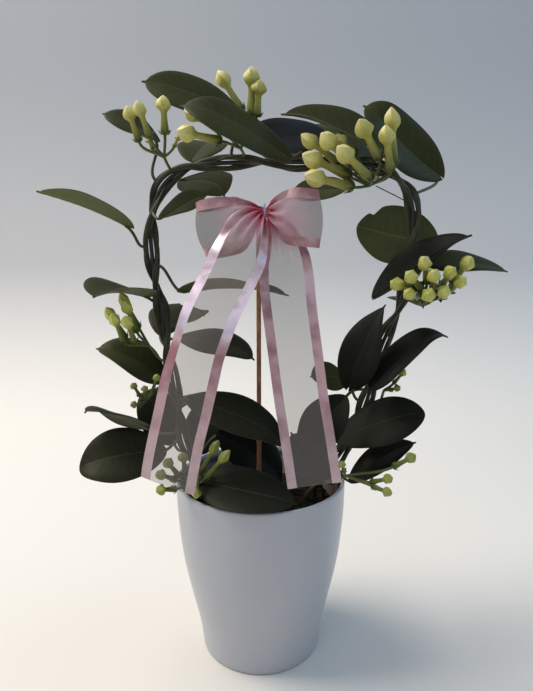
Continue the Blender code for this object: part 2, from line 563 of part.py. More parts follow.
def bud_cluster(name, vine, place, stalk, buds, collection):
    """A cluster of buds: its peduncle, knob and buds joined into one body."""
    seat, way = seat_on_vine(vine, place)
    centre = seat + Vector(stalk)
    reach = Vector(stalk).length
    pieces = new_collection(name + "_pieces")
    bend = (seat, seat + way * (0.4 * reach), centre - Vector(stalk) * 0.25, centre)
    rings = [round_ring(bezier(bend, t), bezier_way(bend, t), PEDUNCLE_RADIUS) for t in PEDUNCLE_STATIONS]
    finish_mesh(name + "_peduncle", loft(rings), "bud_green", pieces)
    for i, (foot, tip_vector, head) in enumerate(buds):
        finish_mesh(f"{name}_{i}", bud(centre, foot, tip_vector, head), "bud_green", pieces)
    knob = bmesh.new()
    bmesh.ops.create_icosphere(knob, subdivisions=1, radius=KNOB_RADIUS * MM)
    bmesh.ops.translate(knob, verts=knob.verts, vec=centre * MM)
    obj = finish_mesh(name, knob, "bud_green", collection)
    join_with(obj, pieces)


def join_with(obj, pieces):
    """Union an object with a collection of closed pieces, then drop the pieces."""
    union = obj.modifiers.new("join", "BOOLEAN")
    union.operation = "UNION"
    union.operand_type = "COLLECTION"
    union.collection = pieces
    union.solver = "EXACT"
    union.use_self = True
    shape = evaluated_mesh(obj)
    obj.modifiers.remove(union)
    bmesh.ops.triangulate(shape, faces=shape.faces)
    shape.to_mesh(obj.data)
    shape.free()
    for piece in list(pieces.objects):
        bpy.data.objects.remove(piece, do_unlink=True)
    bpy.data.collections.remove(pieces)


def ribbon(name, stations, collection):
    """A thin closed strip of ribbon through its stations."""
    middles = smooth_route([middle for middle, _ in stations], 2)
    halves = smooth_route([half for _, half in stations], 2)
    rings = []
    for i, (middle, half) in enumerate(zip(middles, halves)):
        ahead = middles[min(i + 1, len(middles) - 1)] - middles[max(i - 1, 0)]
        normal = half.cross(ahead).normalized() * (RIBBON_THICKNESS / 2)
        over, under = middle + normal, middle - normal
        rings.append([over - half, over + half, under + half, under - half])
    return finish_mesh(name, loft(rings), "ribbon_sheer", collection)


def cover_pot(collection):
    """The white pot: flat foot, flared wall, rounded rim and a floor inside."""
    outside = [(radius, height) for height, radius in POT_OUTSIDE]
    inside = [(radius - POT_WALL, height) for radius, height in outside[:-2]]
    corner = outside[-2][0] - POT_WALL
    profile = [(0, POT_FLOOR), (corner - POT_INNER_FILLET, POT_FLOOR)]
    profile += [(corner - POT_INNER_FILLET * 0.4, POT_FLOOR + POT_INNER_FILLET * 0.4)]
    profile += inside[::-1] + lip_points(POT_WALL / 2) + outside + [(0, 0)]
    turned("pot", profile, POT_STEPS, "pot_glaze", collection)


def lip_points(lip):
    """The rounded rim, from its inner side over to its outer side."""
    middle = POT_RIM_RADIUS - lip
    turns = [math.radians(angle) for angle in (180, 135, 90, 45, 0)]
    return [(middle + lip * math.cos(turn), POT_HEIGHT - lip + lip * math.sin(turn)) for turn in turns]


def grower_radius(height):
    """Outer radius of the grower's pot at a height."""
    share = (height - GROWER_BOTTOM) / GROWER_HEIGHT
    return GROWER_FOOT_RADIUS + (GROWER_TOP_RADIUS - GROWER_FOOT_RADIUS) * share


def grower_pot(collection):
    """The thin plastic pot inside, with a turned-out lip."""
    top = GROWER_BOTTOM + GROWER_HEIGHT
    lip_base = top - GROWER_LIP_HEIGHT
    floor = GROWER_BOTTOM + GROWER_WALL
    profile = [
        (0, floor), (grower_radius(floor) - GROWER_WALL, floor),
        (grower_radius(top) - GROWER_WALL, top), (GROWER_LIP_RADIUS, top),
        (GROWER_LIP_RADIUS, lip_base), (grower_radius(lip_base), lip_base),
        (GROWER_FOOT_RADIUS, GROWER_BOTTOM), (0, GROWER_BOTTOM),
    ]
    turned("grower_pot", profile, GROWER_STEPS, "grower_plastic", collection)


def cut(obj, cutters):
    """Cut a collection of closed shapes out of an object and keep the result."""
    difference = obj.modifiers.new("holes", "BOOLEAN")
    difference.operation = "DIFFERENCE"
    difference.operand_type = "COLLECTION"
    difference.collection = cutters
    difference.solver = "EXACT"
    shape = evaluated_mesh(obj)
    obj.modifiers.clear()
    mesh = bpy.data.meshes.new(obj.name)
    bmesh.ops.triangulate(shape, faces=shape.faces)
    shape.to_mesh(mesh)
    shape.free()
    mesh.materials.append(obj.data.materials[0])
    obj.data = mesh


def hole_cutter(stem_foot, radius, cutters):
    """A plain round cutter from just under a stem's foot up through the soil."""
    x, y, z = stem_foot
    foot = z - GAP
    height = SOIL_TOP + 2 * SOIL_CROWN - foot
    shape = bmesh.new()
    bmesh.ops.create_cone(shape, cap_ends=True, segments=12, radius1=radius * MM, radius2=radius * MM,
                          depth=height * MM)
    bmesh.ops.translate(shape, verts=shape.verts, vec=metres((x, y, foot + height / 2)))
    cutter = finish_mesh("hole", shape, "soil", cutters)
    cutter.hide_render = True
    cutter.display_type = "WIRE"


def soil(collection):
    """Soil that fills the grower's pot, slightly crowned, with a plain hole for each stem."""
    foot = GROWER_BOTTOM + GROWER_WALL + GAP
    inset = GROWER_WALL + GAP
    rise = [(1.0, 0.0), (0.8, 0.35), (0.45, 0.8), (0.0, 1.0)]
    edge = grower_radius(SOIL_TOP) - inset
    profile = [(edge * share, SOIL_TOP + SOIL_CROWN * lift) for share, lift in rise[::-1]]
    profile += [(grower_radius(foot) - inset, foot), (0, foot)]
    obj = turned("soil", profile, GROWER_STEPS, "soil", collection)
    cutters = new_collection("cutters")
    for place in (0.0, HOOP.length):
        hole_cutter(HOOP.at(place), WIRE_RADIUS + HOOP_CLEARANCE, cutters)
    for vine in VINE_PHASE:
        for place in (BURIED - VINE_ROOT, HOOP.length - BURIED + VINE_ROOT):
            hole_cutter(vine_at(vine, place)[0], VINE_RADIUS + VINE_CLEARANCE, cutters)
    hole_cutter((STICK_X, STICK_Y, STICK_FOOT), STICK_RADIUS + STICK_CLEARANCE, cutters)
    cut(obj, cutters)


def hoop(collection):
    """The wire hoop."""
    count = round(HOOP.length / HOOP_STEP)
    places = [HOOP.length * i / count for i in range(count + 1)]
    tube("hoop", [HOOP.at(place) for place in places], WIRE_RADIUS, "hoop_wire", collection)


def vines(collection):
    """The two vines that twine round the hoop from soil to soil."""
    start = BURIED - VINE_ROOT
    end = HOOP.length - BURIED + VINE_ROOT
    count = round((end - start) / VINE_STEP)
    places = [start + (end - start) * i / count for i in range(count + 1)]
    for vine in VINE_PHASE:
        tube(vine, [vine_at(vine, place)[0] for place in places], VINE_RADIUS, "vine_bark", collection)


def stick(collection):
    """The bamboo stick."""
    shape = bmesh.new()
    height = STICK_TOP - STICK_FOOT
    bmesh.ops.create_cone(shape, cap_ends=True, segments=10, radius1=STICK_RADIUS * MM,
                          radius2=STICK_RADIUS * MM, depth=height * MM)
    bmesh.ops.translate(shape, verts=shape.verts, vec=metres((STICK_X, STICK_Y, STICK_FOOT + height / 2)))
    finish_mesh("stick", shape, "stick_wood", collection)


def bow(collection):
    """The ribbon bow: a knot, two loops and two tails, and the wire that ties it to the stick."""
    shape = bmesh.new()
    bmesh.ops.create_cube(shape, size=MM)
    bmesh.ops.scale(shape, verts=shape.verts, vec=KNOT_SIZE)
    bmesh.ops.bevel(shape, geom=shape.edges[:], offset=KNOT_ROUNDING * MM, segments=2, profile=0.5,
                    affect="EDGES")
    bmesh.ops.translate(shape, verts=shape.verts, vec=metres(KNOT_CENTRE))
    finish_mesh("bow_knot", shape, "ribbon_satin", collection)
    for name, stations in RIBBONS:
        ribbon(name, stations, collection)
    route = smooth_route(TIE_ROUTE + TIE_ROUTE[:1], 2)[:-1]
    tube("bow_tie_wire", route, TIE_RADIUS, "tie_blue", collection, cyclic=True)


def main():
    """Build every piece."""
    clear_scene()
    make_materials()
    parts = new_collection("potted_stephanotis")
    cover_pot(parts)
    grower_pot(parts)
    soil(parts)
    hoop(parts)
    vines(parts)
    stick(parts)
    bow(parts)
    for row in LEAVES:
        leaf(*row, parts)
    for name, vine, place, stalk, buds in BUD_CLUSTERS:
        bud_cluster(name, vine, place, stalk, buds, parts)


main()
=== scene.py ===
# %% [markdown]
# # A potted stephanotis on a hoop
#
# A stephanotis is a climber with leathery leaves and waxy white flowers. In the shop it is trained
# round a wire hoop and stands in a cover pot, here with a ribbon bow on a stick. This lesson dresses
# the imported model: each piece below takes the place of a plain solid and keeps its size and place.
# Lengths in the lists are millimetres, as a gardener would measure them, and are scaled once.

import math

import bmesh
import bpy
import numpy as np
from mathutils import Matrix, Vector, noise


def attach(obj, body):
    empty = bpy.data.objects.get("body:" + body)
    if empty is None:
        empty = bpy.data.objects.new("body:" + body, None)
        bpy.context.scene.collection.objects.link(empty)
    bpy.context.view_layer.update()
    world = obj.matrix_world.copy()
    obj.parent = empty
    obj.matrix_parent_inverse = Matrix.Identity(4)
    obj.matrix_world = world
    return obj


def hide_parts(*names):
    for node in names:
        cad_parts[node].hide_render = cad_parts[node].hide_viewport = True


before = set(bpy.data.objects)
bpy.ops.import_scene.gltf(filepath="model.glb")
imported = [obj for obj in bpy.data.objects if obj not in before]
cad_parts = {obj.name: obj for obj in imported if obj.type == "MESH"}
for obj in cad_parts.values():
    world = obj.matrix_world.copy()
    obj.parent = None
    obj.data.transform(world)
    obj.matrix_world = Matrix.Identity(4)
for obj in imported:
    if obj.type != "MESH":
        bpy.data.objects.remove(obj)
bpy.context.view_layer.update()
scene = bpy.context.scene
MM = 0.001

# %% [markdown]
# ## Camera
#
# The photo was taken from a little above the bow, close to the plant, so the pot narrows towards its
# foot. The camera's height, tilt and focal length were worked out from the ellipses of the pot's rim
# and foot. A lens in millimetres is the focal length in pixels times the sensor's size over the
# picture's longer side.

# %% Camera
PHOTO_SIZE = (533, 691)
FOCAL_PIXELS = 580
CAMERA_PLACE = (0.0045, -0.425, 0.326)
CAMERA_TILT = 78.9

camera_data = bpy.data.cameras.new("photo_camera")
camera_data.sensor_width = 36
camera_data.lens = FOCAL_PIXELS / max(PHOTO_SIZE) * camera_data.sensor_width
camera = bpy.data.objects.new("photo_camera", camera_data)
camera.location = CAMERA_PLACE
camera.rotation_euler = (math.radians(CAMERA_TILT), 0, 0)
scene.collection.objects.link(camera)
scene.camera = camera
print("lens:", round(camera_data.lens, 2), "mm")

# %% [markdown]
# ## Small helpers
#
# Materials and node trees are both made of nodes. One helper adds a node, sets its options and fills
# its inputs with values or with other nodes' outputs. Colours are written as screen values from 0 to
# 255 and turned into linear light, which is what the renderer works in.

# %% Node helpers
def add_node(tree, kind, inputs=None, **options):
    """Add a node, set its options and fill its inputs by name or by number."""
    node = tree.nodes.new(kind)
    for option, value in options.items():
        setattr(node, option, value)
    for place, value in (inputs or {}).items():
        if isinstance(value, bpy.types.NodeSocket):
            tree.links.new(value, node.inputs[place])
        else:
            node.inputs[place].default_value = value
    return node


def calc(tree, operation, first, second=0.0, third=0.0):
    """One sum on numbers: the output of a Math node."""
    return add_node(tree, "ShaderNodeMath", {0: first, 1: second, 2: third}, operation=operation).outputs[0]


def fade(tree, value, start, end):
    """A smooth change from 0 to 1 as a value goes from start to end."""
    inputs = {"Value": value, "From Min": start, "From Max": end}
    return add_node(tree, "ShaderNodeMapRange", inputs, interpolation_type="SMOOTHSTEP").outputs[0]


def blend_colour(tree, amount, first, second):
    """Two colours mixed by an amount."""
    node = add_node(tree, "ShaderNodeMix", {0: amount, 6: first, 7: second}, data_type="RGBA")
    return node.outputs[2]


def screen(red, green, blue):
    """A screen colour from 0 to 255 as linear light."""
    shares = [value / 255 for value in (red, green, blue)]
    return (*[s / 12.92 if s <= 0.04045 else ((s + 0.055) / 1.055) ** 2.4 for s in shares], 1.0)


print("middle grey on the screen is", round(screen(128, 128, 128)[0], 3), "in linear light")

# %% Material helpers
def new_material(name, roughness, specular=0.5):
    """A material with its node tree and its Principled shader."""
    material = bpy.data.materials.new(name)
    material.use_nodes = True
    shader = material.node_tree.nodes["Principled BSDF"]
    shader.inputs["Roughness"].default_value = roughness
    shader.inputs["Specular IOR Level"].default_value = specular
    return material, material.node_tree, shader


def object_place(tree):
    """Object coordinates: a point's place on the whole model, in metres."""
    return add_node(tree, "ShaderNodeTexCoord").outputs["Object"]


def parts_of(tree, vector):
    """A vector's three numbers, as outputs X, Y and Z."""
    return add_node(tree, "ShaderNodeSeparateXYZ", {0: vector}).outputs


def height_at(tree):
    """A point's height over the floor, in metres."""
    return parts_of(tree, object_place(tree))["Z"]


def map_place(tree, name):
    """A point's place on one of the piece's own UV maps, as outputs X and Y."""
    return parts_of(tree, add_node(tree, "ShaderNodeUVMap", uv_map=name).outputs[0])


def carried(tree, name, output="Fac"):
    """A value that the piece's own mesh carries under a name."""
    return add_node(tree, "ShaderNodeAttribute", attribute_name=name).outputs[output]


def soft_noise(tree, place, scale, detail=3.0):
    """Noise at a place, from 0 to 1."""
    inputs = {"Vector": place, "Scale": scale, "Detail": detail}
    return add_node(tree, "ShaderNodeTexNoise", inputs).outputs["Fac"]


def add_bump(tree, shader, height, strength, depth):
    """Raise a surface by a height pattern, in shading only."""
    node = add_node(tree, "ShaderNodeBump", {"Height": height, "Strength": strength, "Distance": depth})
    tree.links.new(node.outputs["Normal"], shader.inputs["Normal"])


def clouded(name, dark, light, scale, roughness, specular=0.5, detail=2.0):
    """A plain finish that only drifts between two near colours."""
    material, tree, shader = new_material(name, roughness, specular)
    cloud = soft_noise(tree, object_place(tree), scale, detail)
    tree.links.new(blend_colour(tree, cloud, screen(*dark), screen(*light)), shader.inputs["Base Color"])
    return material


# %% [markdown]
# A finished piece is one object at the origin with a plain mesh. Each one rides on the model's single
# body and hides the solid that it stands for. Closed shapes are built as rings of points with faces
# between each ring and the next.

# %% Piece helpers
def add_piece(name, mesh, solids):
    """Link a mesh as a finished piece that stands for some solids."""
    piece = bpy.data.objects.new(name, mesh)
    scene.collection.objects.link(piece)
    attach(piece, "root")
    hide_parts(*solids)
    return piece


def mesh_from(shape, name, materials):
    """Turn a bmesh in millimetres into a smooth mesh in metres."""
    shape.transform(Matrix.Scale(MM, 4))
    mesh = bpy.data.meshes.new(name)
    shape.to_mesh(mesh)
    shape.free()
    for material in materials:
        mesh.materials.append(material)
    mesh.shade_smooth()
    return mesh


# %% Ring helpers
def circle(steps):
    """The angles of evenly spaced steps round a circle."""
    return [2 * math.pi * i / steps for i in range(steps)]


def bridged(shape, rings):
    """Faces between each ring of points and the next, where a ring may be a single point."""
    faces = []
    for near, far in zip(rings, rings[1:]):
        steps = max(len(near), len(far))
        for i in range(steps):
            k = (i + 1) % steps
            corners = [near[i % len(near)], near[k % len(near)], far[k % len(far)], far[i % len(far)]]
            faces.append(shape.faces.new(list(dict.fromkeys(corners))))
    return faces


def capped(shape, rings):
    """Close both ends of a row of rings."""
    shape.faces.new(rings[0][::-1])
    shape.faces.new(rings[-1])


# %% [markdown]
# ## Cover pot
#
# The pot is a satin white shell with a thin rounded rim and a small foot. A turned shape is a profile
# spun round an axis, so the profile is all that has to be drawn: from the middle of the foot up the
# outside, over the rim, and down the inside to the floor. The glaze is nearly plain, with the faint
# orange-peel that sprayed glaze has, a soft sheen, and painted shade below the rim inside.

# %% Turning a profile
def turned(name, profile, material, steps):
    """A closed turned mesh from (radius, height) pairs that start and end on the axis."""
    shape = bmesh.new()
    rings = []
    for radius, height in profile:
        angles = circle(steps if radius else 1)
        rings.append([shape.verts.new((radius * math.cos(a), radius * math.sin(a), height)) for a in angles])
    bridged(shape, rings)
    bmesh.ops.recalc_face_normals(shape, faces=shape.faces)
    return mesh_from(shape, name, [material])


def rounded(points, steps):
    """A smooth curve through some points, with a number of steps between each pair."""
    points = [Vector(point) for point in points]
    route = []
    for i in range(len(points) - 1):
        before, after = points[max(i - 1, 0)], points[min(i + 2, len(points) - 1)]
        start, end = points[i], points[i + 1]
        for k in range(steps):
            t = k / steps
            route.append(0.5 * (2 * start + (end - before) * t
                                + (2 * before - 5 * start + 4 * end - after) * t ** 2
                                + (3 * start - before - 3 * end + after) * t ** 3))
    route.append(points[-1])
    return route


# %% Cover pot
# Each pair is a radius and a height.
POT_FOOT = [(0, 0), (41.4, 0), (45.4, 0), (46.2, 0.35), (46.7, 1.2), (46.9, 2.4)]
POT_OUTSIDE = [(65.0, 136.5), (64.8, 122), (63.7, 103), (60.5, 75), (54.6, 46), (51.1, 31), (48.6, 17),
               (47.0, 4)]
POT_WALL = 2.6
POT_TOP = 140.0
POT_FLOOR = 4.0
INSIDE_END = 9.0
# Where the inside rounds into the floor: how far in from the wall, and how high
INSIDE_CORNER = [(1.2, 6.0), (3.5, POT_FLOOR)]
RIM_STEPS = 8


def pot_profile():
    """Half a section of the pot, from the middle of its foot, up outside, over the rim and down inside."""
    outside = [(p.x, p.y) for p in rounded([(r, h, 0) for r, h in POT_OUTSIDE], steps=5)]
    lip = POT_WALL / 2
    middle = POT_OUTSIDE[0][0] - lip
    turns = [math.pi * i / RIM_STEPS for i in range(RIM_STEPS)]
    rim = [(middle + lip * math.cos(a), POT_TOP - lip + lip * math.sin(a)) for a in turns]
    inside = [(radius - POT_WALL, height) for radius, height in outside if height > INSIDE_END]
    floor = [(inside[-1][0] - inward, height) for inward, height in INSIDE_CORNER] + [(0, POT_FLOOR)]
    return POT_FOOT + outside[::-1] + rim + inside + floor


# Where the painted shade inside the rim fades in, in metres: by radius, below the rim and above the soil
RIM_SHADE_RADII = (0.0638, 0.0632)
RIM_SHADE_TOP = (0.1375, 0.134)
RIM_SHADE_FOOT = (0.108, 0.114)


def make_glaze():
    """Satin white glaze with a faint orange-peel and slight clouding, and painted shade inside the rim."""
    material, tree, shader = new_material("pot_glaze", 0.34)
    place = object_place(tree)
    cloud = soft_noise(tree, place, 14)
    speck = fade(tree, soft_noise(tree, place, 900, 1), 0.68, 0.8)
    body = blend_colour(tree, cloud, screen(169, 172, 179), screen(179, 181, 188))
    colour = blend_colour(tree, calc(tree, "MULTIPLY", speck, 0.25), body, screen(150, 148, 146))
    split = parts_of(tree, place)
    squares = [calc(tree, "MULTIPLY", split[axis], split[axis]) for axis in "XY"]
    radius = calc(tree, "POWER", calc(tree, "ADD", *squares), 0.5)
    # Painted shade: the inside wall just below the rim is darkened, as the rim shades it.
    rim_shade = calc(tree, "MULTIPLY", fade(tree, radius, *RIM_SHADE_RADII), fade(tree, split["Z"], *RIM_SHADE_TOP))
    rim_shade = calc(tree, "MULTIPLY", rim_shade, fade(tree, split["Z"], *RIM_SHADE_FOOT))
    colour = blend_colour(tree, calc(tree, "MULTIPLY", rim_shade, 0.85), colour, screen(72, 64, 58))
    tree.links.new(colour, shader.inputs["Base Color"])
    add_bump(tree, shader, soft_noise(tree, place, 420, 2), 0.12, 0.0004)
    shader.inputs["Coat Weight"].default_value = 0.25
    shader.inputs["Coat Roughness"].default_value = 0.27
    return material


mesh = turned("cover_pot", pot_profile(), make_glaze(), steps=144)
pot = add_piece("cover_pot", mesh, ["pot"])
print("pot:", [round(x, 3) for x in pot.dimensions])

# %% [markdown]
# ## Grower's pot
#
# The plant still stands in the thin brown pot that it grew in. Only a line of its lip shows inside the
# rim, so a turned shell with a rolled lip is enough, in plastic that drifts a little in colour.

# %% Grower's pot
GROWER_FOOT = (40.0, 4.3)
GROWER_TOP = (59.0, 133.3)
GROWER_WALL = 1.2
GROWER_FLOOR = 2.0
# Inside, the wall starts this far below the lip and ends on the floor with its width at this height.
GROWER_INNER_TOP = 0.5
GROWER_CORNER = 3.0
# The lip's section: radius, and depth below the pot's top
GROWER_LIP = [(60.8, 8.5), (61.0, 7.7), (61.0, 1.0), (60.6, 0.2), (60.0, 0.0)]


def grower_profile():
    """Half a section of the grower's pot with its rolled lip."""
    foot_radius, foot = GROWER_FOOT
    top_radius, top = GROWER_TOP
    slope = (top_radius - foot_radius) / (top - foot)
    lip = [(radius, top - depth) for radius, depth in GROWER_LIP]
    under_lip = (foot_radius + slope * (lip[0][1] - foot), lip[0][1])
    floor = foot + GROWER_FLOOR
    inner = [(top_radius - GROWER_WALL, top - GROWER_INNER_TOP),
             (foot_radius + slope * GROWER_CORNER - GROWER_WALL, floor)]
    return [(0, foot), (foot_radius, foot), under_lip, *lip, *inner, (0, floor)]


# The plastic's brown is painted darker than its own, as shade inside the cover pot.
grower_plastic = clouded("grower_plastic", (44, 26, 20), (62, 38, 29), 60, 0.5, detail=3.0)
mesh = turned("grower_pot_lip", grower_profile(), grower_plastic, steps=96)
grower = add_piece("grower_pot_lip", mesh, ["grower_pot"])
print("grower's pot:", [round(x, 3) for x in grower.dimensions])

# %% [markdown]
# ## Node trees that make shapes
#
# What repeats or follows a path is made by Geometry Nodes: the twined stems, the stalks, the buds and
# the crumbs of soil. A tree is built here in code with a named input for each size, run once on a
# source mesh, and its result is kept as a plain mesh.

# %% Geometry tree helpers
def shape_tree(name, sizes):
    """A new geometry tree with named inputs: the tree, its inputs and its output."""
    tree = bpy.data.node_groups.new(name, "GeometryNodeTree")
    tree.interface.new_socket("Geometry", in_out="INPUT", socket_type="NodeSocketGeometry")
    for label, kind in sizes:
        tree.interface.new_socket(label, in_out="INPUT", socket_type="NodeSocket" + kind)
    tree.interface.new_socket("Geometry", in_out="OUTPUT", socket_type="NodeSocketGeometry")
    given = tree.nodes.new("NodeGroupInput").outputs
    return tree, given, tree.nodes.new("NodeGroupOutput").inputs["Geometry"]


def vector_calc(tree, operation, first, second=(0, 0, 0)):
    """One sum on vectors: the output of a Vector Math node."""
    return add_node(tree, "ShaderNodeVectorMath", {0: first, 1: second}, operation=operation).outputs[0]


def scaled(tree, vector, factor):
    """A vector made longer or shorter."""
    node = add_node(tree, "ShaderNodeVectorMath", {0: vector, "Scale": factor}, operation="SCALE")
    return node.outputs[0]


def along_z(tree, value):
    """A vector that points up and is as long as a value."""
    return add_node(tree, "ShaderNodeCombineXYZ", {"Z": value}).outputs[0]


def store(tree, geometry, name, value, kind="FLOAT"):
    """Keep a value on the points under a name, for the materials to read."""
    inputs = {"Geometry": geometry, "Name": name, "Value": value}
    node = add_node(tree, "GeometryNodeStoreNamedAttribute", inputs, data_type=kind, domain="POINT")
    return node.outputs[0]


def moved(tree, geometry, offset):
    """Every point of a shape moved by an offset."""
    return add_node(tree, "GeometryNodeSetPosition", {0: geometry, "Offset": offset}).outputs[0]


def named(tree, name, kind="FLOAT"):
    """A value that was kept on the points under a name."""
    return add_node(tree, "GeometryNodeInputNamedAttribute", {"Name": name}, data_type=kind).outputs[0]


def finish_tree(tree, geometry, material, output):
    """Smooth the result, make it real and give it its material."""
    smooth = add_node(tree, "GeometryNodeSetShadeSmooth", {"Geometry": geometry}).outputs[0]
    real = add_node(tree, "GeometryNodeRealizeInstances", {"Geometry": smooth}).outputs[0]
    painted = add_node(tree, "GeometryNodeSetMaterial", {"Geometry": real, "Material": material}).outputs[0]
    tree.links.new(painted, output)


# %% Running a tree
def grow(name, mesh, tree, sizes):
    """Run a tree on a mesh once and keep what it makes as a plain mesh."""
    source = bpy.data.objects.new(name, mesh)
    scene.collection.objects.link(source)
    modifier = source.modifiers.new("grow", "NODES")
    modifier.node_group = tree
    for item in tree.interface.items_tree:
        if item.in_out == "INPUT" and item.name in sizes:
            modifier[item.identifier] = sizes[item.name]
    graph = bpy.context.evaluated_depsgraph_get()
    graph.update()
    result = bpy.data.meshes.new_from_object(source.evaluated_get(graph))
    result.name = name
    bpy.data.objects.remove(source, do_unlink=True)
    return result


def joined(name, meshes):
    """Several meshes as one, with their attributes and materials kept."""
    objects = []
    for mesh in meshes:
        objects.append(bpy.data.objects.new(name, mesh))
        scene.collection.objects.link(objects[-1])
    with bpy.context.temp_override(active_object=objects[0], selected_editable_objects=objects):
        bpy.ops.object.join()
    result = objects[0].data
    result.name = name
    bpy.data.objects.remove(objects[0], do_unlink=True)
    return result


def line_mesh(name, lines):
    """Open lines as one mesh of edges: each line is a list of (point, thickness), in millimetres."""
    mesh = bpy.data.meshes.new(name)
    points, edges, thickness = [], [], []
    for line in lines:
        first = len(points)
        edges += [(first + i, first + i + 1) for i in range(len(line) - 1)]
        points += [Vector(point) * MM for point, _ in line]
        thickness += [size for _, size in line]
    mesh.from_pydata(points, edges, [])
    mesh.attributes.new("thickness", "FLOAT", "POINT").data.foreach_set("value", thickness)
    return mesh


# %% [markdown]
# ### A tree for stems
#
# A stem is a line swept by a small circle. The tree first winds the line round its own course where it
# is given a spread, as a young shoot winds round an older one, and then sweeps it and roughens the
# bark. The distance along the stem and the place round it are kept under names, so that the bark's
# pattern can run along the stem.

# %% Stem tree
# The bark's grain: how far its pattern reaches round a stem, in metres, and how fine it is
BARK_ROUND = 0.0012
BARK_GRAIN = 260


def build_stem_tree():
    """A line wound and swept as a stem: its points carry a thickness that scales the stem."""
    tree, given, output = shape_tree("stem", [
        ("Radius", "Float"), ("Spread", "Float"), ("Turn", "Float"), ("Step", "Float"), ("Sides", "Int"),
        ("Roughness", "Float"), ("Material", "Material")])
    line = add_node(tree, "GeometryNodeMeshToCurve", {0: given["Geometry"]}).outputs[0]
    thickness = named(tree, "thickness")
    line = add_node(tree, "GeometryNodeSetCurveRadius", {0: line, "Radius": thickness}).outputs[0]
    even = {0: line, "Length": given["Step"]}
    line = add_node(tree, "GeometryNodeResampleCurve", even, mode="LENGTH").outputs[0]

    along = add_node(tree, "GeometryNodeSplineParameter").outputs["Length"]
    across = add_node(tree, "GeometryNodeInputNormal").outputs[0]
    tangent = add_node(tree, "GeometryNodeInputTangent").outputs[0]
    other = vector_calc(tree, "CROSS_PRODUCT", across, tangent)
    angle = calc(tree, "MULTIPLY", calc(tree, "DIVIDE", along, given["Turn"]), 2 * math.pi)
    way = vector_calc(tree, "ADD", scaled(tree, across, calc(tree, "COSINE", angle)),
                      scaled(tree, other, calc(tree, "SINE", angle)))
    wound = store(tree, moved(tree, line, scaled(tree, way, given["Spread"])), "along", along)

    size = {"Resolution": given["Sides"], "Radius": given["Radius"]}
    ring = add_node(tree, "GeometryNodeCurvePrimitiveCircle", size, mode="RADIUS").outputs[0]
    position = add_node(tree, "GeometryNodeInputPosition").outputs[0]
    ring = store(tree, ring, "round", vector_calc(tree, "NORMALIZE", position), "FLOAT_VECTOR")
    swept = add_node(tree, "GeometryNodeCurveToMesh", {0: wound, 1: ring, "Fill Caps": True}).outputs[0]

    around = named(tree, "round", "FLOAT_VECTOR")
    place = vector_calc(tree, "MULTIPLY_ADD", around, (BARK_ROUND, BARK_ROUND, 0.0))
    place = vector_calc(tree, "ADD", place, along_z(tree, named(tree, "along")))
    rough = calc(tree, "SUBTRACT", soft_noise(tree, place, BARK_GRAIN), 0.5)
    lift = scaled(tree, add_node(tree, "GeometryNodeInputNormal").outputs[0],
                  calc(tree, "MULTIPLY", rough, given["Roughness"]))
    finish_tree(tree, moved(tree, swept, lift), given["Material"], output)
    return tree


STEM_TREE = build_stem_tree()


def stem_mesh(name, lines, radius, material, spread=0.0, turn=40.0, step=3.0, sides=10, roughness=0.0):
    """Lines of (point, thickness) as stems, with every size in millimetres."""
    sizes = {"Radius": radius * MM, "Spread": spread * MM, "Turn": turn * MM, "Step": step * MM,
             "Sides": sides, "Roughness": roughness * MM, "Material": material}
    return grow(name, line_mesh(name + "_line", lines), STEM_TREE, sizes)


print("stem tree:", len(STEM_TREE.nodes), "nodes")

# %% [markdown]
# ## Wire hoop and twined stems
#
# The hoop is a coated wire bent into a rounded arch, with both ends in the soil. Two stems climb it,
# one from each foot, and lie on opposite sides of the wire as they turn round it. Each carries a thin
# young shoot wound round it, which is what gives the real bundle its rope-like look. The route is
# given in millimetres as (x, z) at the middle of the wire.

# %% Routes of the wire and the stems
HOOP_ROUTE = (
    (-42, 70), (-42, 98), (-42, 124), (-48, 142), (-57, 165), (-64, 200), (-69, 235), (-73, 266),
    (-77, 294), (-79, 322), (-77, 340), (-71, 355), (-60, 366), (-45, 372), (-7, 374), (32, 374),
    (68, 373), (86, 370), (97, 363), (105, 354), (109, 341), (110, 326), (108, 302), (103, 273),
    (96, 256), (90, 241), (86, 222), (82, 204), (76, 186), (67, 166), (56, 149), (47, 137),
    (42, 124), (42, 98), (42, 70),
)
WIRE_RADIUS = 1.5
VINE_RADIUS = 1.9
SHOOT_RADIUS = 1.0
VINE_OFFSET = 3.9
VINE_SPREAD = 5.0
VINE_SPREAD_LENGTH = 52.0
VINE_PITCH = 98.0
BURIED = 54.0
VINE_ROOT = 24.0
VINE_STEPS = 240
VINE_SWELL = 0.12
VINE_SWELL_TURN = 0.11
VINE_PHASE = {"vine_left": 0.0, "vine_right": math.pi}
# A thin side shoot that leaves a vine at the upper right and ends below the buds
SIDE_SHOOTS = {
    "vine_right": ((79.9, -12.0, 356.9), (86.6, -10.0, 354.0), (95.7, -7.0, 350.2), (103.9, -3.0, 346.6)),
}
SIDE_SHOOT_RADIUS = 0.4

hoop_points = rounded([(x, 0, z) for x, z in HOOP_ROUTE], steps=12)
hoop_places = [0.0]
for start, end in zip(hoop_points, hoop_points[1:]):
    hoop_places.append(hoop_places[-1] + (end - start).length)
hoop_length = hoop_places[-1]


def hoop_at(place):
    """The point of the wire at a distance along it."""
    place = min(max(place, 0.0), hoop_length)
    return Vector([np.interp(place, hoop_places, [p[i] for p in hoop_points]) for i in range(3)])


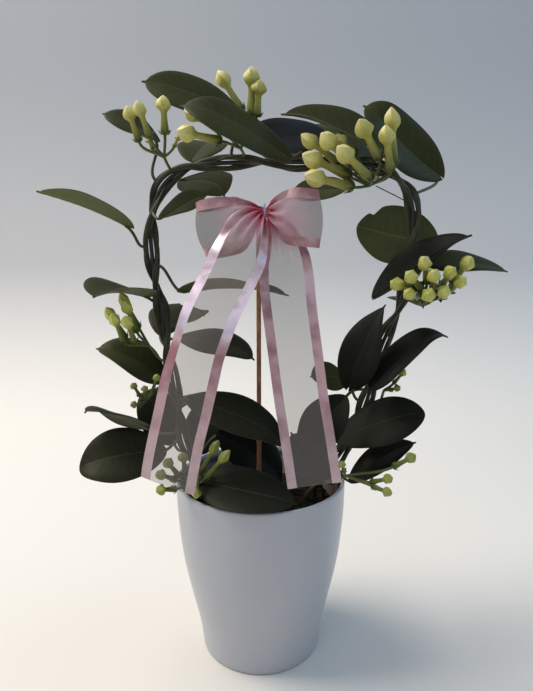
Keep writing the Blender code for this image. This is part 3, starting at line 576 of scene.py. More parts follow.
def vine_at(vine, place):
    """Middle of a vine at a place along the hoop, and the way that it lies from the wire."""
    turning = min(max(place, BURIED), hoop_length - BURIED)
    angle = 2 * math.pi * turning / VINE_PITCH + VINE_PHASE[vine]
    along = (hoop_at(place + 1) - hoop_at(place - 1)).normalized()
    outward = Vector((-along.z, 0, along.x))
    way = math.cos(angle) * outward + math.sin(angle) * Vector((0, -1, 0))
    above_soil = min(turning - BURIED, hoop_length - BURIED - turning)
    near_soil = max(0.0, 1.0 - above_soil / VINE_SPREAD_LENGTH)
    return hoop_at(place) + way * (VINE_OFFSET + VINE_SPREAD * near_soil ** 2), way


print("hoop:", round(hoop_length), "mm of wire")

# %% Bark and wire materials
def make_bark(name, dark, light):
    """Bark or grain: dark and light streaks that run along the stem."""
    material, tree, shader = new_material(name, 0.55, 0.35)
    lengthways = calc(tree, "MULTIPLY", carried(tree, "along"), 0.16)
    around = scaled(tree, carried(tree, "round", "Vector"), 0.0016)
    streak = soft_noise(tree, vector_calc(tree, "ADD", around, along_z(tree, lengthways)), 900, 4)
    patch = soft_noise(tree, object_place(tree), 70, 2)
    tone = calc(tree, "ADD", calc(tree, "MULTIPLY", streak, 0.7), calc(tree, "MULTIPLY", patch, 0.5))
    colour = blend_colour(tree, fade(tree, tone, 0.35, 0.85), screen(*dark), screen(*light))
    tree.links.new(colour, shader.inputs["Base Color"])
    add_bump(tree, shader, streak, 0.5, 0.0004)
    return material


vine_bark = make_bark("vine_bark", (36, 38, 26), (72, 71, 46))
wire_coat = clouded("hoop_wire", (32, 34, 24), (46, 48, 33), 120, 0.4)
print("finishes:", vine_bark.name, "and", wire_coat.name)

# %% Hoop and vines
def vine_line(vine):
    """A vine's middle line, a little thicker and thinner in turn as it goes."""
    start, end = BURIED - VINE_ROOT, hoop_length - BURIED + VINE_ROOT
    places = np.linspace(start, end, VINE_STEPS)
    return [(vine_at(vine, place)[0], 1.0 + VINE_SWELL * math.sin(place * VINE_SWELL_TURN))
            for place in places]


wire_line = [(point, 1.0) for point in hoop_points]
mesh = stem_mesh("hoop_wire", [wire_line], WIRE_RADIUS, wire_coat, sides=12)
add_piece("hoop_wire", mesh, ["hoop"])
for vine in VINE_PHASE:
    course = [vine_line(vine)]
    parts = [
        stem_mesh(vine + "_stem", course, VINE_RADIUS, vine_bark, step=2.0, sides=14, roughness=0.3),
        stem_mesh(vine + "_shoot", course, SHOOT_RADIUS, vine_bark, spread=2.0, turn=64.0, step=2.0,
                  roughness=0.15)]
    if vine in SIDE_SHOOTS:
        course = [[(Vector(point), 1.0) for point in SIDE_SHOOTS[vine]]]
        parts.append(stem_mesh("side_shoot", course, SIDE_SHOOT_RADIUS, vine_bark, step=1.5, sides=8))
    mesh = joined(vine + "_shoots", parts)
    add_piece(vine + "_shoots", mesh, [vine])
    print(vine, "triangles:", len(mesh.polygons) * 2)

# %% [markdown]
# ## Leaves
#
# A stephanotis leaf is a thick blunt ellipse with a pale midrib, faint side veins that arch towards
# the edge, and a short hooked point. It could be a flat card with a leaf picture on it, but the hooked
# tips and rolled edges are what the eye reads in the photo, so each blade is a closed surface drawn by
# one rule: how wide it is, how it arches, folds, rolls and hooks at each place. Upper sides are dark
# and waxy, and undersides are dull and paler.

# %% Leaf materials
SIDE_VEINS = 9.0
VEIN_SLANT = 1.5
VEIN_BEND = 1.4
# What a tone below 0 fades to, as painted shade, and what one below -0.9 is, a painted bluish reflection
LEAF_SHADE = (17, 19, 18)
LEAF_SKY_REFLECTION = (36, 38, 44)


def make_leaf_skin(name, dark, light, vein, roughness, relief, rib_width):
    """Leaf skin with a midrib and side veins, drawn on the blade's own map."""
    material, tree, shader = new_material(name, roughness, 0.12)
    shader.inputs["Specular Tint"].default_value = (0.9, 0.95, 0.75, 1.0)
    dark, light, vein = screen(*dark), screen(*light), screen(*vein)

    # The blade's map runs from one edge to the other in X and from base to tip in Y.
    place = map_place(tree, "blade")
    from_rib = calc(tree, "ABSOLUTE", calc(tree, "MULTIPLY_ADD", place["X"], 2.0, -1.0))
    rib = fade(tree, from_rib, rib_width, rib_width * 0.4)
    bend = calc(tree, "MULTIPLY", calc(tree, "POWER", from_rib, VEIN_BEND), VEIN_SLANT)
    wander = calc(tree, "MULTIPLY", soft_noise(tree, object_place(tree), 60, 2), 0.8)
    along = calc(tree, "MULTIPLY", place["Y"], SIDE_VEINS)
    phase = calc(tree, "ADD", calc(tree, "SUBTRACT", along, bend), wander)
    ridge = calc(tree, "PINGPONG", phase, 0.5)
    side_vein = calc(tree, "MULTIPLY", fade(tree, ridge, 0.12, 0.02), fade(tree, from_rib, 0.95, 0.55))
    net = fade(tree, soft_noise(tree, object_place(tree), 900, 2), 0.5, 0.75)

    cloud = soft_noise(tree, object_place(tree), 45, 3)
    # The tone paints light and shade on each blade: lighter where it catches light, dark in shade, bluish
    # where it mirrors the cool lamp.
    tone = carried(tree, "tone")
    amount = calc(tree, "ADD", calc(tree, "MULTIPLY", cloud, 0.5), calc(tree, "SUBTRACT", tone, 0.25))
    body = blend_colour(tree, fade(tree, amount, 0.0, 1.0), dark, light)
    veined = calc(tree, "ADD", calc(tree, "MULTIPLY", side_vein, 0.08), calc(tree, "MULTIPLY", net, 0.05))
    body = blend_colour(tree, calc(tree, "MULTIPLY", veined, fade(tree, tone, -0.2, 0.5)), body, vein)
    body = blend_colour(tree, calc(tree, "MULTIPLY", rib, 0.24), body, vein)
    body = blend_colour(tree, fade(tree, tone, -0.6, 0.0), screen(*LEAF_SHADE), body)
    body = blend_colour(tree, fade(tree, tone, -0.7, -0.9), body, screen(*LEAF_SKY_REFLECTION))
    tree.links.new(body, shader.inputs["Base Color"])
    height = calc(tree, "ADD", calc(tree, "MULTIPLY", ridge, 0.3), calc(tree, "MULTIPLY", net, 0.12))
    add_bump(tree, shader, height, relief, 0.0008)
    return material


leaf_upper = make_leaf_skin("leaf_upper", (30, 31, 25), (53, 55, 28), (96, 101, 62), 0.48, 0.25, 0.03)
leaf_under = make_leaf_skin("leaf_under", (58, 62, 42), (92, 98, 62), (126, 134, 90), 0.6, 0.2, 0.06)
stalk_green = clouded("stalk_green", (50, 48, 30), (84, 84, 46), 90, 0.45, 0.4)
print("leaf veins:", round(SIDE_VEINS), "on each side of the midrib")

# %% [markdown]
# Each row below gives a leaf: the vine and the place along the hoop where it grows, its stalk and its
# blade as vectors, its width, and the way that its upper side faces. The last five numbers curve the
# blade: how far it arches, how steeply its halves fold up from the midrib, how far the tip hooks down
# in radians, how far the blade sways to one side, and how far it twists in radians.

# %% Leaf rows
LEAVES = (
    ("leaf_top_left", "vine_right", 348, (7, 14, 26), (-68, -11, 23), 38,
     (0.33, -0.69, 0.65), (0.06, 0.07, 0.11, 0.0, 0.39)),
    ("leaf_top_middle", "vine_left", 397, (-10, -12, -4), (-69, -17, 34), 41,
     (0.47, -0.6, 0.64), (0.05, 0.08, 0.55, -0.02, 0.01)),
    ("leaf_behind_bar", "vine_left", 374, (-16, 10, 16), (62, 8, 5), 34,
     (0.09, -0.9, 0.43), (0.06, 0.06, 0.29, 0.06, 0.5)),
    ("leaf_top_right", "vine_right", 456, (1, 0, 3), (-75, 0, 31), 40,
     (0.32, -0.55, 0.77), (0.06, 0.44, 0.17, 0.0, -0.13)),
    ("leaf_corner_upright", "vine_left", 482.8, (22, 20, 14), (-57, -6, 53), 44,
     (0.37, -0.88, 0.31), (0.01, 0.21, 0.82, -0.08, -0.1)),
    ("leaf_corner_back", "vine_left", 455, (-1, 29, 7), (-41, 19, 38), 38,
     (0.4, -0.58, 0.71), (0.07, 0.07, 0.49, -0.02, -0.04)),
    ("leaf_under_buds", "vine_right", 430, (1, 9, -20), (-41, -5, -4), 28,
     (-0.14, 0.53, 0.84), (0.06, 0.09, 0.07, 0.07, -0.14)),
    ("leaf_far_left", "vine_right", 250, (-9, 0, 14), (-57, -21, 23), 38,
     (0.29, 0.21, 0.93), (0.04, 0.38, -0.06, 0.01, 0.14)),
    ("leaf_left_corner", "vine_right", 306, (2, 3, 0), (30, 28, -5), 44,
     (-0.12, 0.31, 0.94), (0.07, -0.03, 1.44, 0.07, 0.04)),
    ("leaf_left_small", "vine_right", 274, (7, -8, -3), (31, 1, 16), 24,
     (-0.43, 0.37, 0.82), (0.05, 0.12, 0.5, -0.06, 0.41)),
    ("leaf_left_side", "vine_left", 211, (-4, 3, 3), (-27, -46, 4), 48,
     (0.12, 0.02, 0.99), (0.06, 0.33, -0.1, 0.11, -0.08)),
    ("leaf_left_lower", "vine_right", 152, (-1.8, -2.6, -0.9), (-45, -6, 28), 36,
     (0.52, -0.49, 0.7), (0.09, 0.3, 0.56, 0.01, -0.25)),
    ("leaf_left_level", "vine_left", 110, (-21, 0, 4), (-42, -19, 26), 32,
     (0.21, 0.59, 0.78), (0.02, -0.08, 1.26, 0.07, 0.59)),
    ("leaf_left_bottom", "vine_left", 103, (-10, -10, -5), (-61, -17, -6), 42,
     (0.15, -0.75, 0.65), (0.07, 0.18, 0.66, 0.02, -0.22)),
    ("leaf_inner_left", "vine_left", 82, (3, 7, 5), (18, 2, 42), 34,
     (-0.4, -0.9, 0.2), (0.07, 0.16, 0.5, 0.0, 0.0)),
    ("leaf_outer_left", "vine_left", 93, (-8, 9, 4), (-23, 6, 42), 34,
     (0.4, -0.9, 0.2), (0.07, 0.16, 0.5, 0.0, 0.0)),
    ("leaf_inner", "vine_right", 182, (10, -6, 2), (54, -13, -11), 36,
     (0.11, -0.31, 0.94), (0.06, 0.11, 0.51, 0.0, 0.0)),
    ("leaf_behind_stick", "vine_left", 236, (16, 1, -19), (78, 6, -3), 38,
     (0.01, 0.31, 0.95), (0.06, 0.24, 0.06, -0.01, -0.75)),
    ("leaf_inner_small", "vine_right", 191, (9, 3, 3), (20, -21, 11), 17,
     (0.23, 0.62, 0.75), (0.08, 0.19, 1.15, 0.06, -0.64)),
    ("leaf_centre", "vine_left", 135, (10, -20, 5), (71, -14, -27), 35,
     (0.2, -0.56, 0.8), (0.06, 0.16, 0.81, -0.01, 0.34)),
    ("leaf_centre_back", "vine_right", 88, (18, 1, 16), (50, 9, -44), 38,
     (0.51, -0.74, 0.44), (0.07, 0.16, 0.51, -0.04, 0.29)),
    ("leaf_front", "vine_right", 81, (3, -28, 0), (71, -23, -6), 39,
     (-0.1, -0.52, 0.85), (0.06, 0.13, 0.27, 0.04, 0.39)),
    ("leaf_right_face", "vine_right", 525, (17, 9, 10), (-59, 6, 13), 45,
     (0.15, 0.97, 0.21), (0.07, 0.08, 0.48, 0.05, 0.43)),
    ("leaf_right_dark", "vine_left", 541, (-19, -18, -13), (60, -10, 44), 39,
     (-0.6, -0.3, 0.74), (0.02, 0.4, 0.2, -0.01, 0.18)),
    ("leaf_far_right", "vine_right", 541, (7, -4, 11), (55, -9, -5), 32,
     (0.0, -0.46, 0.89), (0.07, 0.15, 0.06, 0.01, 0.39)),
    ("leaf_right_middle", "vine_left", 611, (-6, -13, -11), (47, -8, 47), 34,
     (-0.7, -0.34, 0.63), (0.06, 0.26, 1.32, 0.02, 0.39)),
    ("leaf_right_upright", "vine_left", 621, (-16, -2, -5), (22, -8, 63), 37,
     (-0.65, -0.75, 0.13), (0.07, 0.13, 0.29, 0.01, 1.14)),
    ("leaf_right_under", "vine_left", 641, (-9, 3, 16), (-26, 17, 0), 28,
     (0.48, 0.75, 0.46), (0.05, -0.02, 0.9, -0.01, -0.11)),
    ("leaf_right_hanging", "vine_left", 630, (-18, -24, 0), (-31, -13, -37), 31,
     (-0.15, -0.89, 0.42), (0.05, 0.37, 0.51, 0.02, 0.59)),
    ("leaf_right_lower", "vine_right", 662, (-14, -7, -4), (61, -15, 27), 40,
     (-0.45, -0.48, 0.75), (0.06, 0.09, 0.46, 0.01, -0.35)),
    ("leaf_right_bottom", "vine_left", 696, (9, -9, -4.2), (46, -3, 32), 29,
     (-0.55, -0.33, 0.76), (0.07, 0.17, 0.17, 0.01, 0.22)),
    ("leaf_behind_tail", "vine_right", 676, (-15, -11, -24), (-25, -9, 38), 35,
     (0.15, -0.98, -0.12), (0.09, 0.32, 0.79, -0.01, -0.56)),
    ("leaf_top_corner", "vine_left", 294, (0, 11, 29), (-37, -4, 18), 29,
     (0.43, -0.45, 0.78), (0.06, 0.12, 0.16, 0.01, 0.35)),
    ("leaf_back_low_left", "vine_right", 131, (3, 22, -2), (-14, 42, -24), 34,
     (-0.1, 0.4, 0.9), (0.07, 0.16, 0.5, 0.0, 0.0)),
    ("leaf_back_left", "vine_left", 172, (-8, 13, 10), (9, 42, 19), 28,
     (0.26, -0.45, 0.86), (0.06, -0.05, 0.11, -0.07, 0.31)),
    ("leaf_back_top", "vine_right", 318, (0, 12, 6), (12, 50, 20), 38,
     (0.0, -0.4, 0.9), (0.07, 0.16, 0.5, 0.0, 0.0)),
    ("leaf_back_right", "vine_left", 563, (5, 12, 2), (30, 46, -8), 38,
     (0.0, 0.2, 1.0), (0.07, 0.16, 0.5, 0.0, 0.0)),
    ("leaf_back_low_right", "vine_right", 613, (4, 12, 0), (14, 46, -22), 36,
     (0.0, 0.5, 0.9), (0.07, 0.16, 0.5, 0.0, 0.0)),
)
# Leaves with a dent in one side of the outline: place along the blade, side and depth
DENTS = {"leaf_right_face": (0.8, -1, 0.3)}
DENT_LENGTH = 0.05
# Leaves whose point is curled in, so that the end looks round
BLUNT = ("leaf_left_bottom", "leaf_right_lower", "leaf_right_face")
# How light a blade is, in painted light and shade: 1 is the lightest green, and below 0 it goes dark
TONES = {
    "leaf_right_dark": -0.6, "leaf_behind_bar": -1.0, "leaf_right_upright": -0.25,
    "leaf_right_middle": -0.25, "leaf_right_lower": -0.25, "leaf_right_bottom": -0.3,
    "leaf_front": 0.0, "leaf_centre": 0.2, "leaf_centre_back": -0.45, "leaf_behind_tail": -0.1,
    "leaf_right_hanging": -0.2, "leaf_left_bottom": 0.25, "leaf_left_lower": 0.7,
    "leaf_left_side": 0.8, "leaf_left_corner": 0.3, "leaf_left_small": 0.3, "leaf_far_left": 0.8,
}
# The other blades get lighter between two heights: painted light on the high leaves, painted shade on the
# low.
TONE_HEIGHTS = (150.0, 400.0)
TONE_RANGE = (0.1, 0.8)
print("leaf rows:", len(LEAVES), "with a tone of their own:", len(TONES))

# %% Blade rule
HOOK_START = 0.74
BODY_END = 0.965
BLUNTNESS = 0.6
BASE_HALF_WIDTH = 0.8
POINT_HALF_WIDTH = 1.3
POINT_END = 1.03
POINT_TAPER = 0.08
LOBE = 0.05
FOLD_CURVE = 1.3
ROLL = 0.07
ROLL_START = 0.6
RIPPLE = 0.04
RIPPLE_TURN = 7.5
VEIN_RELIEF = 0.08
TWIST_FROM = 0.3


def blade_half_width(t, width):
    """Half the blade's width: a blunt ellipse that ends in a short narrow point."""
    body = min(t / BODY_END, 1.0)
    ellipse = width / 2 * max(4 * body * (1 - body), 0.0) ** BLUNTNESS
    point = POINT_HALF_WIDTH * min(1.0, (POINT_END - t) / POINT_TAPER)
    return max(ellipse, point if t > 0.5 else BASE_HALF_WIDTH)


def hooked(t, length, hook):
    """How far out and how far down a hooked tip reaches, and how far it has turned down."""
    if t <= HOOK_START or abs(hook) < 0.01:
        return length * t, 0.0, 0.0
    turned_down = hook * (t - HOOK_START) / (1 - HOOK_START)
    radius = (1 - HOOK_START) * length / hook
    out = length * HOOK_START + radius * math.sin(turned_down)
    return out, radius * (1 - math.cos(turned_down)), turned_down


def blade_lift(leaf, t, u, half):
    """How far the blade's surface stands over its midrib: fold, rolled edge, ripple and veins."""
    edge = abs(u)
    fold = leaf["curve"][1]
    lift = fold * half * edge ** FOLD_CURVE
    lift -= ROLL * half * max(0.0, (edge - ROLL_START) / (1 - ROLL_START)) ** 2
    lift += RIPPLE * half * math.sin(leaf["phase"] + RIPPLE_TURN * t) * u * edge
    vein = math.cos(2 * math.pi * (SIDE_VEINS * t - VEIN_SLANT * edge ** VEIN_BEND))
    return lift + VEIN_RELIEF * vein * (1 - edge)


def blade_point(leaf, t, u):
    """A point of the blade's middle surface: t from base to tip, u from one edge to the other."""
    arch, _, hook, sway, twist = leaf["curve"]
    length, normal, forward, side = leaf["length"], leaf["normal"], leaf["forward"], leaf["side"]
    half = blade_half_width(t, leaf["width"])
    lift = blade_lift(leaf, t, u, half)
    if leaf["dent"] and u * leaf["dent"][1] > 0:
        place, _, depth = leaf["dent"]
        half *= 1 - depth * math.exp(-((t - place) / DENT_LENGTH) ** 2) * abs(u)

    out, drop, bent = hooked(t, length, hook)
    out -= length * LOBE * (1 - t) ** 9 * u * u
    bow = 4 * length * t * (1 - t)
    middle = leaf["start"] + forward * out + normal * (arch * bow - drop) + side * (sway * bow)
    upward = normal * math.cos(bent) + forward * math.sin(bent)
    turn = twist * (t - TWIST_FROM)
    across = side * math.cos(turn) + upward * math.sin(turn)
    upward = upward * math.cos(turn) - side * math.sin(turn)
    return middle + across * (half * u) + upward * lift


print("a blade 40 mm wide has a body of", round(2 * blade_half_width(BODY_END / 2, 40), 1), "mm")

# %% From a row to a leaf
def describe_leaf(row, seed):
    """Everything that the blade's rule needs, from a row of the list."""
    name, vine, place, stalk, blade, width, faces, curve = row
    middle, way = vine_at(vine, place)
    stalk, blade = Vector(stalk), Vector(blade)
    forward = blade.normalized()
    normal = Vector(faces)
    normal = (normal - forward * normal.dot(forward)).normalized()
    start = middle + way * VINE_RADIUS + stalk
    tone = float(np.interp(start.z, TONE_HEIGHTS, TONE_RANGE))
    return {"name": name, "start": start, "forward": forward, "normal": normal,
            "side": forward.cross(normal), "length": blade.length, "width": width, "curve": curve,
            "middle": middle, "way": way, "reach": stalk.length, "phase": seed * 1.7,
            "dent": DENTS.get(name), "tone": TONES.get(name, tone)}


# %% Blade mesh
BLADE_ROWS = 34
HALF_COLUMNS = (-1.0, -0.975, -0.92, -0.82, -0.69, -0.55, -0.4, -0.26, -0.14, -0.05)
BLADE_COLUMNS = (*HALF_COLUMNS, 0.0, *[-u for u in reversed(HALF_COLUMNS)])
EDGE_THICKNESS = 0.55
BLADE_THICKNESS = 0.95
RIB_DEPTH = 0.8
RIB_HALF_WIDTH = 0.1
# The upper side sinks over the midrib by this share of what stands out below.
RIB_GROOVE = 0.3


def blade_normal(grid, i, j, upward):
    """The way that the blade's upper side faces at one point of its grid."""
    before, after = grid[max(i - 1, 0)][j], grid[min(i + 1, len(grid) - 1)][j]
    left, right = grid[i][max(j - 1, 0)], grid[i][min(j + 1, len(BLADE_COLUMNS) - 1)]
    normal = (right - left).cross(before - after)
    normal = -normal.normalized() if normal.length > 1e-6 else upward
    return -normal if normal.dot(upward) < 0 else normal


def blade_side(shape, leaf, grid, times, sign):
    """The points of the blade's upper side (sign 1) or under side (sign -1), row by row."""
    tone = shape.verts.layers.float["tone"]
    rows = []
    for i, t in enumerate(times):
        row = []
        for j, u in enumerate(BLADE_COLUMNS):
            normal = blade_normal(grid, i, j, leaf["normal"])
            thick = EDGE_THICKNESS + (BLADE_THICKNESS - EDGE_THICKNESS) * (1 - abs(u)) ** 0.5
            rib = max(0.0, 1 - abs(u) / RIB_HALF_WIDTH) * (1 - 0.7 * t) * RIB_DEPTH
            depth = thick / 2 - RIB_GROOVE * rib if sign > 0 else thick / 2 + rib
            row.append(shape.verts.new(grid[i][j] + normal * (sign * depth)))
            row[-1][tone] = leaf["tone"]
        rows.append(row)
    return rows


def blade_shape(leaf):
    """The closed blade: an upper and an under surface, joined round the edge."""
    shape = bmesh.new()
    skin = shape.loops.layers.uv.new("blade")
    shape.verts.layers.float.new("tone")
    blade_end = BODY_END - 0.001 if leaf["name"] in BLUNT else 1.0
    times = [blade_end * (1 - math.cos(math.pi * i / (BLADE_ROWS - 1))) / 2 for i in range(BLADE_ROWS)]
    grid = [[blade_point(leaf, t, u) for u in BLADE_COLUMNS] for t in times]
    upper, under = [blade_side(shape, leaf, grid, times, sign) for sign in (1, -1)]
    last_row, last_column = len(times) - 1, len(BLADE_COLUMNS) - 1

    def face(corners, places, material):
        made = shape.faces.new(corners)
        made.material_index = material
        for loop, (i, j) in zip(made.loops, places):
            loop[skin].uv = ((BLADE_COLUMNS[j] + 1) / 2, times[i])

    for i in range(last_row):
        for j in range(last_column):
            places = [(i, j), (i, j + 1), (i + 1, j + 1), (i + 1, j)]
            face([upper[a][b] for a, b in places], places, 0)
            face([under[a][b] for a, b in places[::-1]], places[::-1], 1)
        for j in (0, last_column):
            places = [(i, j), (i + 1, j), (i + 1, j), (i, j)]
            face([upper[i][j], upper[i + 1][j], under[i + 1][j], under[i][j]], places, 1)
    for i in (0, last_row):
        for j in range(last_column):
            places = [(i, j), (i, j + 1), (i, j + 1), (i, j)]
            face([upper[i][j], upper[i][j + 1], under[i][j + 1], under[i][j]], places, 1)
    bmesh.ops.recalc_face_normals(shape, faces=shape.faces)
    return shape


print("blade grid:", BLADE_ROWS, "by", len(BLADE_COLUMNS), "points")

# %% Whole leaves
STALK_RADIUS = 1.1
STALK_ROOT = 0.6


def bezier(a, b, c, d, t):
    """A point on the curve that leaves a towards b and comes to d from c."""
    s = 1 - t
    return a * s ** 3 + b * (3 * s * s * t) + c * (3 * s * t * t) + d * t ** 3


def stalk_line(leaf):
    """The stalk's middle line, from inside the vine to under the blade."""
    slope = 4 * leaf["curve"][0]
    base_way = (leaf["forward"] + leaf["normal"] * slope).normalized()
    base_up = (leaf["normal"] - leaf["forward"] * slope).normalized()
    start, reach = leaf["middle"] + leaf["way"] * STALK_ROOT, leaf["reach"]
    away = start + leaf["way"] * (0.3 + 0.4 * reach)
    before = leaf["start"] - base_way * min(max(0.5 * reach, 3.0), 8.0) - base_up * (0.1 * reach)
    sunk = blade_point(leaf, 0.05, 0.0) - leaf["normal"] * 0.5
    line = []
    for i in range(13):
        t = i / 12
        swollen_foot = 0.55 * max(0, 1 - t * 5)
        thick_end = 0.25 * t ** 4 - 0.25 * max(0, t * 12 - 11)
        line.append((bezier(start, away, before, sunk, t), 1 + swollen_foot + thick_end))
    return line


def make_leaf(row, seed):
    """One leaf as one piece: its blade and its stalk."""
    leaf = describe_leaf(row, seed)
    name = leaf["name"]
    blade = mesh_from(blade_shape(leaf), name + "_blade", [leaf_upper, leaf_under])
    line = stalk_line(leaf)
    stalk = stem_mesh(name + "_stalk", [line], STALK_RADIUS, stalk_green, step=1.2, roughness=0.15)
    add_piece(name + "_green", joined(name + "_green", [blade, stalk]), [name])


for seed, row in enumerate(LEAVES):
    make_leaf(row, seed)
print("leaves:", len(LEAVES))

# %% [markdown]
# ## Bud clusters
#
# Stephanotis buds are little waxy clubs: a tube that narrows upwards, then a head of five lobes that
# are wrapped round each other and twist to a point, with a calyx of five small sepals at the foot. All
# buds are alike apart from their size, so one bud is made once and the tree sets a copy on each stalk,
# turned along its aim and scaled to its own length and head.

# %% Bud material
# The colours of a ripe bud, by the share of its length from foot to tip
BUD_COLOURS = ((0.02, (64, 74, 32)), (0.12, (100, 106, 46)), (0.35, (144, 142, 66)),
               (0.6, (168, 164, 80)), (0.78, (196, 188, 104)), (1.0, (214, 205, 142)))
# Lower clusters are younger, greener and in painted shade. Heights in metres over which each change fades in
YOUNG_SHADED_HEIGHTS = (0.36, 0.26)
UNRIPE_SHADED_HEIGHTS = (0.235, 0.21)
LOWEST_HEIGHTS = (0.17, 0.185)


def make_bud_skin():
    """Waxy skin, green at the foot, pale yellow-green at the tip, greener and in painted shade lower down.
    """
    material, tree, shader = new_material("bud_green", 0.42, 0.4)
    cloud = soft_noise(tree, object_place(tree), 160, 3)
    drift = calc(tree, "MULTIPLY", calc(tree, "SUBTRACT", cloud, 0.5), 0.2)
    place = calc(tree, "ADD", carried(tree, "bud_place"), drift)
    ramp = add_node(tree, "ShaderNodeValToRGB", {0: place})
    stops = ramp.color_ramp.elements
    first, *between, last = BUD_COLOURS
    for stop, (position, colour) in zip(stops, (first, last)):
        stop.position, stop.color = position, screen(*colour)
    for position, colour in between:
        stops.new(position).color = screen(*colour)
    green = calc(tree, "MULTIPLY", fade(tree, soft_noise(tree, object_place(tree), 38, 1), 0.45, 0.7), 0.45)
    colour = blend_colour(tree, green, ramp.outputs["Color"], screen(122, 130, 52))
    # Lower clusters are younger and greener, and this also paints shade on them: darker than the buds up
    # high.
    young = blend_colour(tree, fade(tree, place, 0.45, 0.85), screen(84, 98, 32), screen(186, 192, 84))
    height = height_at(tree)
    youth_and_shade = calc(tree, "MULTIPLY", fade(tree, height, *YOUNG_SHADED_HEIGHTS), 0.8)
    colour = blend_colour(tree, youth_and_shade, colour, young)
    # Painted shade darkens the small clusters low down, a little less on the lowest, which catch light.
    unripe_and_shade = calc(tree, "MULTIPLY_ADD", fade(tree, height, *LOWEST_HEIGHTS), 0.3, 0.5)
    unripe_and_shade = calc(tree, "MULTIPLY", fade(tree, height, *UNRIPE_SHADED_HEIGHTS), unripe_and_shade)
    colour = blend_colour(tree, unripe_and_shade, colour, screen(74, 86, 36))
    fleck = fade(tree, soft_noise(tree, object_place(tree), 520, 2), 0.56, 0.72)
    colour = blend_colour(tree, calc(tree, "MULTIPLY", fleck, 0.4), colour, screen(122, 104, 48))
    tree.links.new(colour, shader.inputs["Base Color"])
    add_bump(tree, shader, soft_noise(tree, object_place(tree), 700, 2), 0.1, 0.0004)
    shader.inputs["Subsurface Weight"].default_value = 0.12
    shader.inputs["Subsurface Radius"].default_value = (0.004, 0.004, 0.0015)
    return material


bud_skin = make_bud_skin()
calyx_green = clouded("calyx_green", (62, 66, 34), (104, 112, 56), 90, 0.45, 0.4)
print("bud colours:", len(BUD_COLOURS), "from foot to tip")

# %% One bud
# Each ring of the bud: share of its length, share of its head's radius, how five-cornered it is
BUD_RINGS = (
    (0.0, 0.28, 0.0), (0.015, 0.48, 0.0), (0.06, 0.58, 0.0), (0.13, 0.58, 0.1), (0.24, 0.52, 0.1),
    (0.38, 0.45, 0.1), (0.5, 0.41, 0.1), (0.57, 0.44, 0.2), (0.62, 0.58, 0.4), (0.66, 0.82, 0.6),
    (0.71, 0.98, 0.8), (0.76, 1.0, 0.9), (0.82, 0.94, 1.0), (0.88, 0.76, 1.0), (0.93, 0.5, 1.0),
    (0.97, 0.26, 0.8), (0.995, 0.06, 0.2),
)
BUD_SIDES = 20
PETALS = 5
PETAL_SWELL = 1.1
HEAD_START = 0.6
HEAD_TWIST = 0.9
# Along each corner of the head the shading is sharp, from this height up.
CREASE_START = 0.64
SEPAL_LENGTH = 0.13
# Each ring of a sepal: share of its length, half its width, distance from the bud's middle
SEPAL_RINGS = ((0.0, 0.26, 0.44), (0.35, 0.3, 0.66), (0.7, 0.18, 0.78), (1.0, 0.03, 1.0))
# The corners of a sepal's section: share of its half width, and how far out
SEPAL_SECTION = ((-1, 0.0), (0, 0.06), (1, 0.0), (0, -0.1))


def bud_ring(shape, height, radius, corners):
    """One ring of the bud: a circle that turns into a twisted pentagon over the head."""
    ring = []
    twist = HEAD_TWIST * max(0.0, height - HEAD_START) / (1 - HEAD_START)
    side = 2 * math.pi / PETALS
    for turn in circle(BUD_SIDES):
        pentagon = PETAL_SWELL * math.cos(side / 2) / math.cos(turn % side - side / 2)
        size = radius * (1 + corners * (pentagon - 1))
        ring.append(shape.verts.new((size * math.cos(turn - twist), size * math.sin(turn - twist), height)))
    return ring


def add_sepal(shape, angle):
    """A small pointed sepal that lies against the foot of the tube, its tip a little off it."""
    outward = Vector((math.cos(angle), math.sin(angle), 0))
    side = Vector((-outward.y, outward.x, 0))
    rings = []
    for share, half, off in SEPAL_RINGS:
        lift = Vector((0, 0, SEPAL_LENGTH * share))
        rings.append([shape.verts.new(outward * (off + out) + side * (half * across) + lift)
                      for across, out in SEPAL_SECTION])
    bridged(shape, rings)
    capped(shape, rings)


def bud_mesh():
    """One bud that stands on the origin: one unit long, with a head of radius one unit."""
    shape = bmesh.new()
    place = shape.verts.layers.float.new("bud_place")
    rings = [bud_ring(shape, *ring) for ring in BUD_RINGS]
    for vertex in shape.verts:
        vertex[place] = vertex.co.z
    bridged(shape, rings)
    for near, far in zip(rings, rings[1:]):
        for i in range(0, BUD_SIDES, BUD_SIDES // PETALS):
            shape.edges.get((near[i], far[i])).smooth = near[i].co.z < CREASE_START
    capped(shape, rings)
    for turn in circle(PETALS):
        add_sepal(shape, turn + math.pi / PETALS)
    mesh = bpy.data.meshes.new("one_bud")
    shape.to_mesh(mesh)
    shape.free()
    return mesh


# %% Bud tree
def build_bud_tree():
    """A copy of one bud on each point, turned along its aim and scaled to its size."""
    tree, given, output = shape_tree("buds", [("Bud", "Object"), ("Material", "Material")])
    bud = add_node(tree, "GeometryNodeObjectInfo", {"Object": given["Bud"]}).outputs["Geometry"]
    aim = {"Vector": named(tree, "aim", "FLOAT_VECTOR")}
    aim = add_node(tree, "FunctionNodeAlignRotationToVector", aim, axis="Z").outputs[0]
    placed = add_node(tree, "GeometryNodeInstanceOnPoints", {
        "Points": given["Geometry"], "Instance": bud, "Rotation": aim,
        "Scale": named(tree, "size", "FLOAT_VECTOR")}).outputs[0]
    finish_tree(tree, placed, given["Material"], output)
    return tree


BUD_TREE = build_bud_tree()
one_bud = bpy.data.objects.new("one_bud", bud_mesh())
print("one bud:", len(one_bud.data.polygons), "faces")

# %% [markdown]
# A cluster starts from its vine with a short thick stalk, which ends in a knob. The thin stalks of the
# buds fan out from there. Each row gives the vine and place, the stalk, and then for each bud its foot
# from the knob, the vector from its foot to its tip, and the radius of its head.

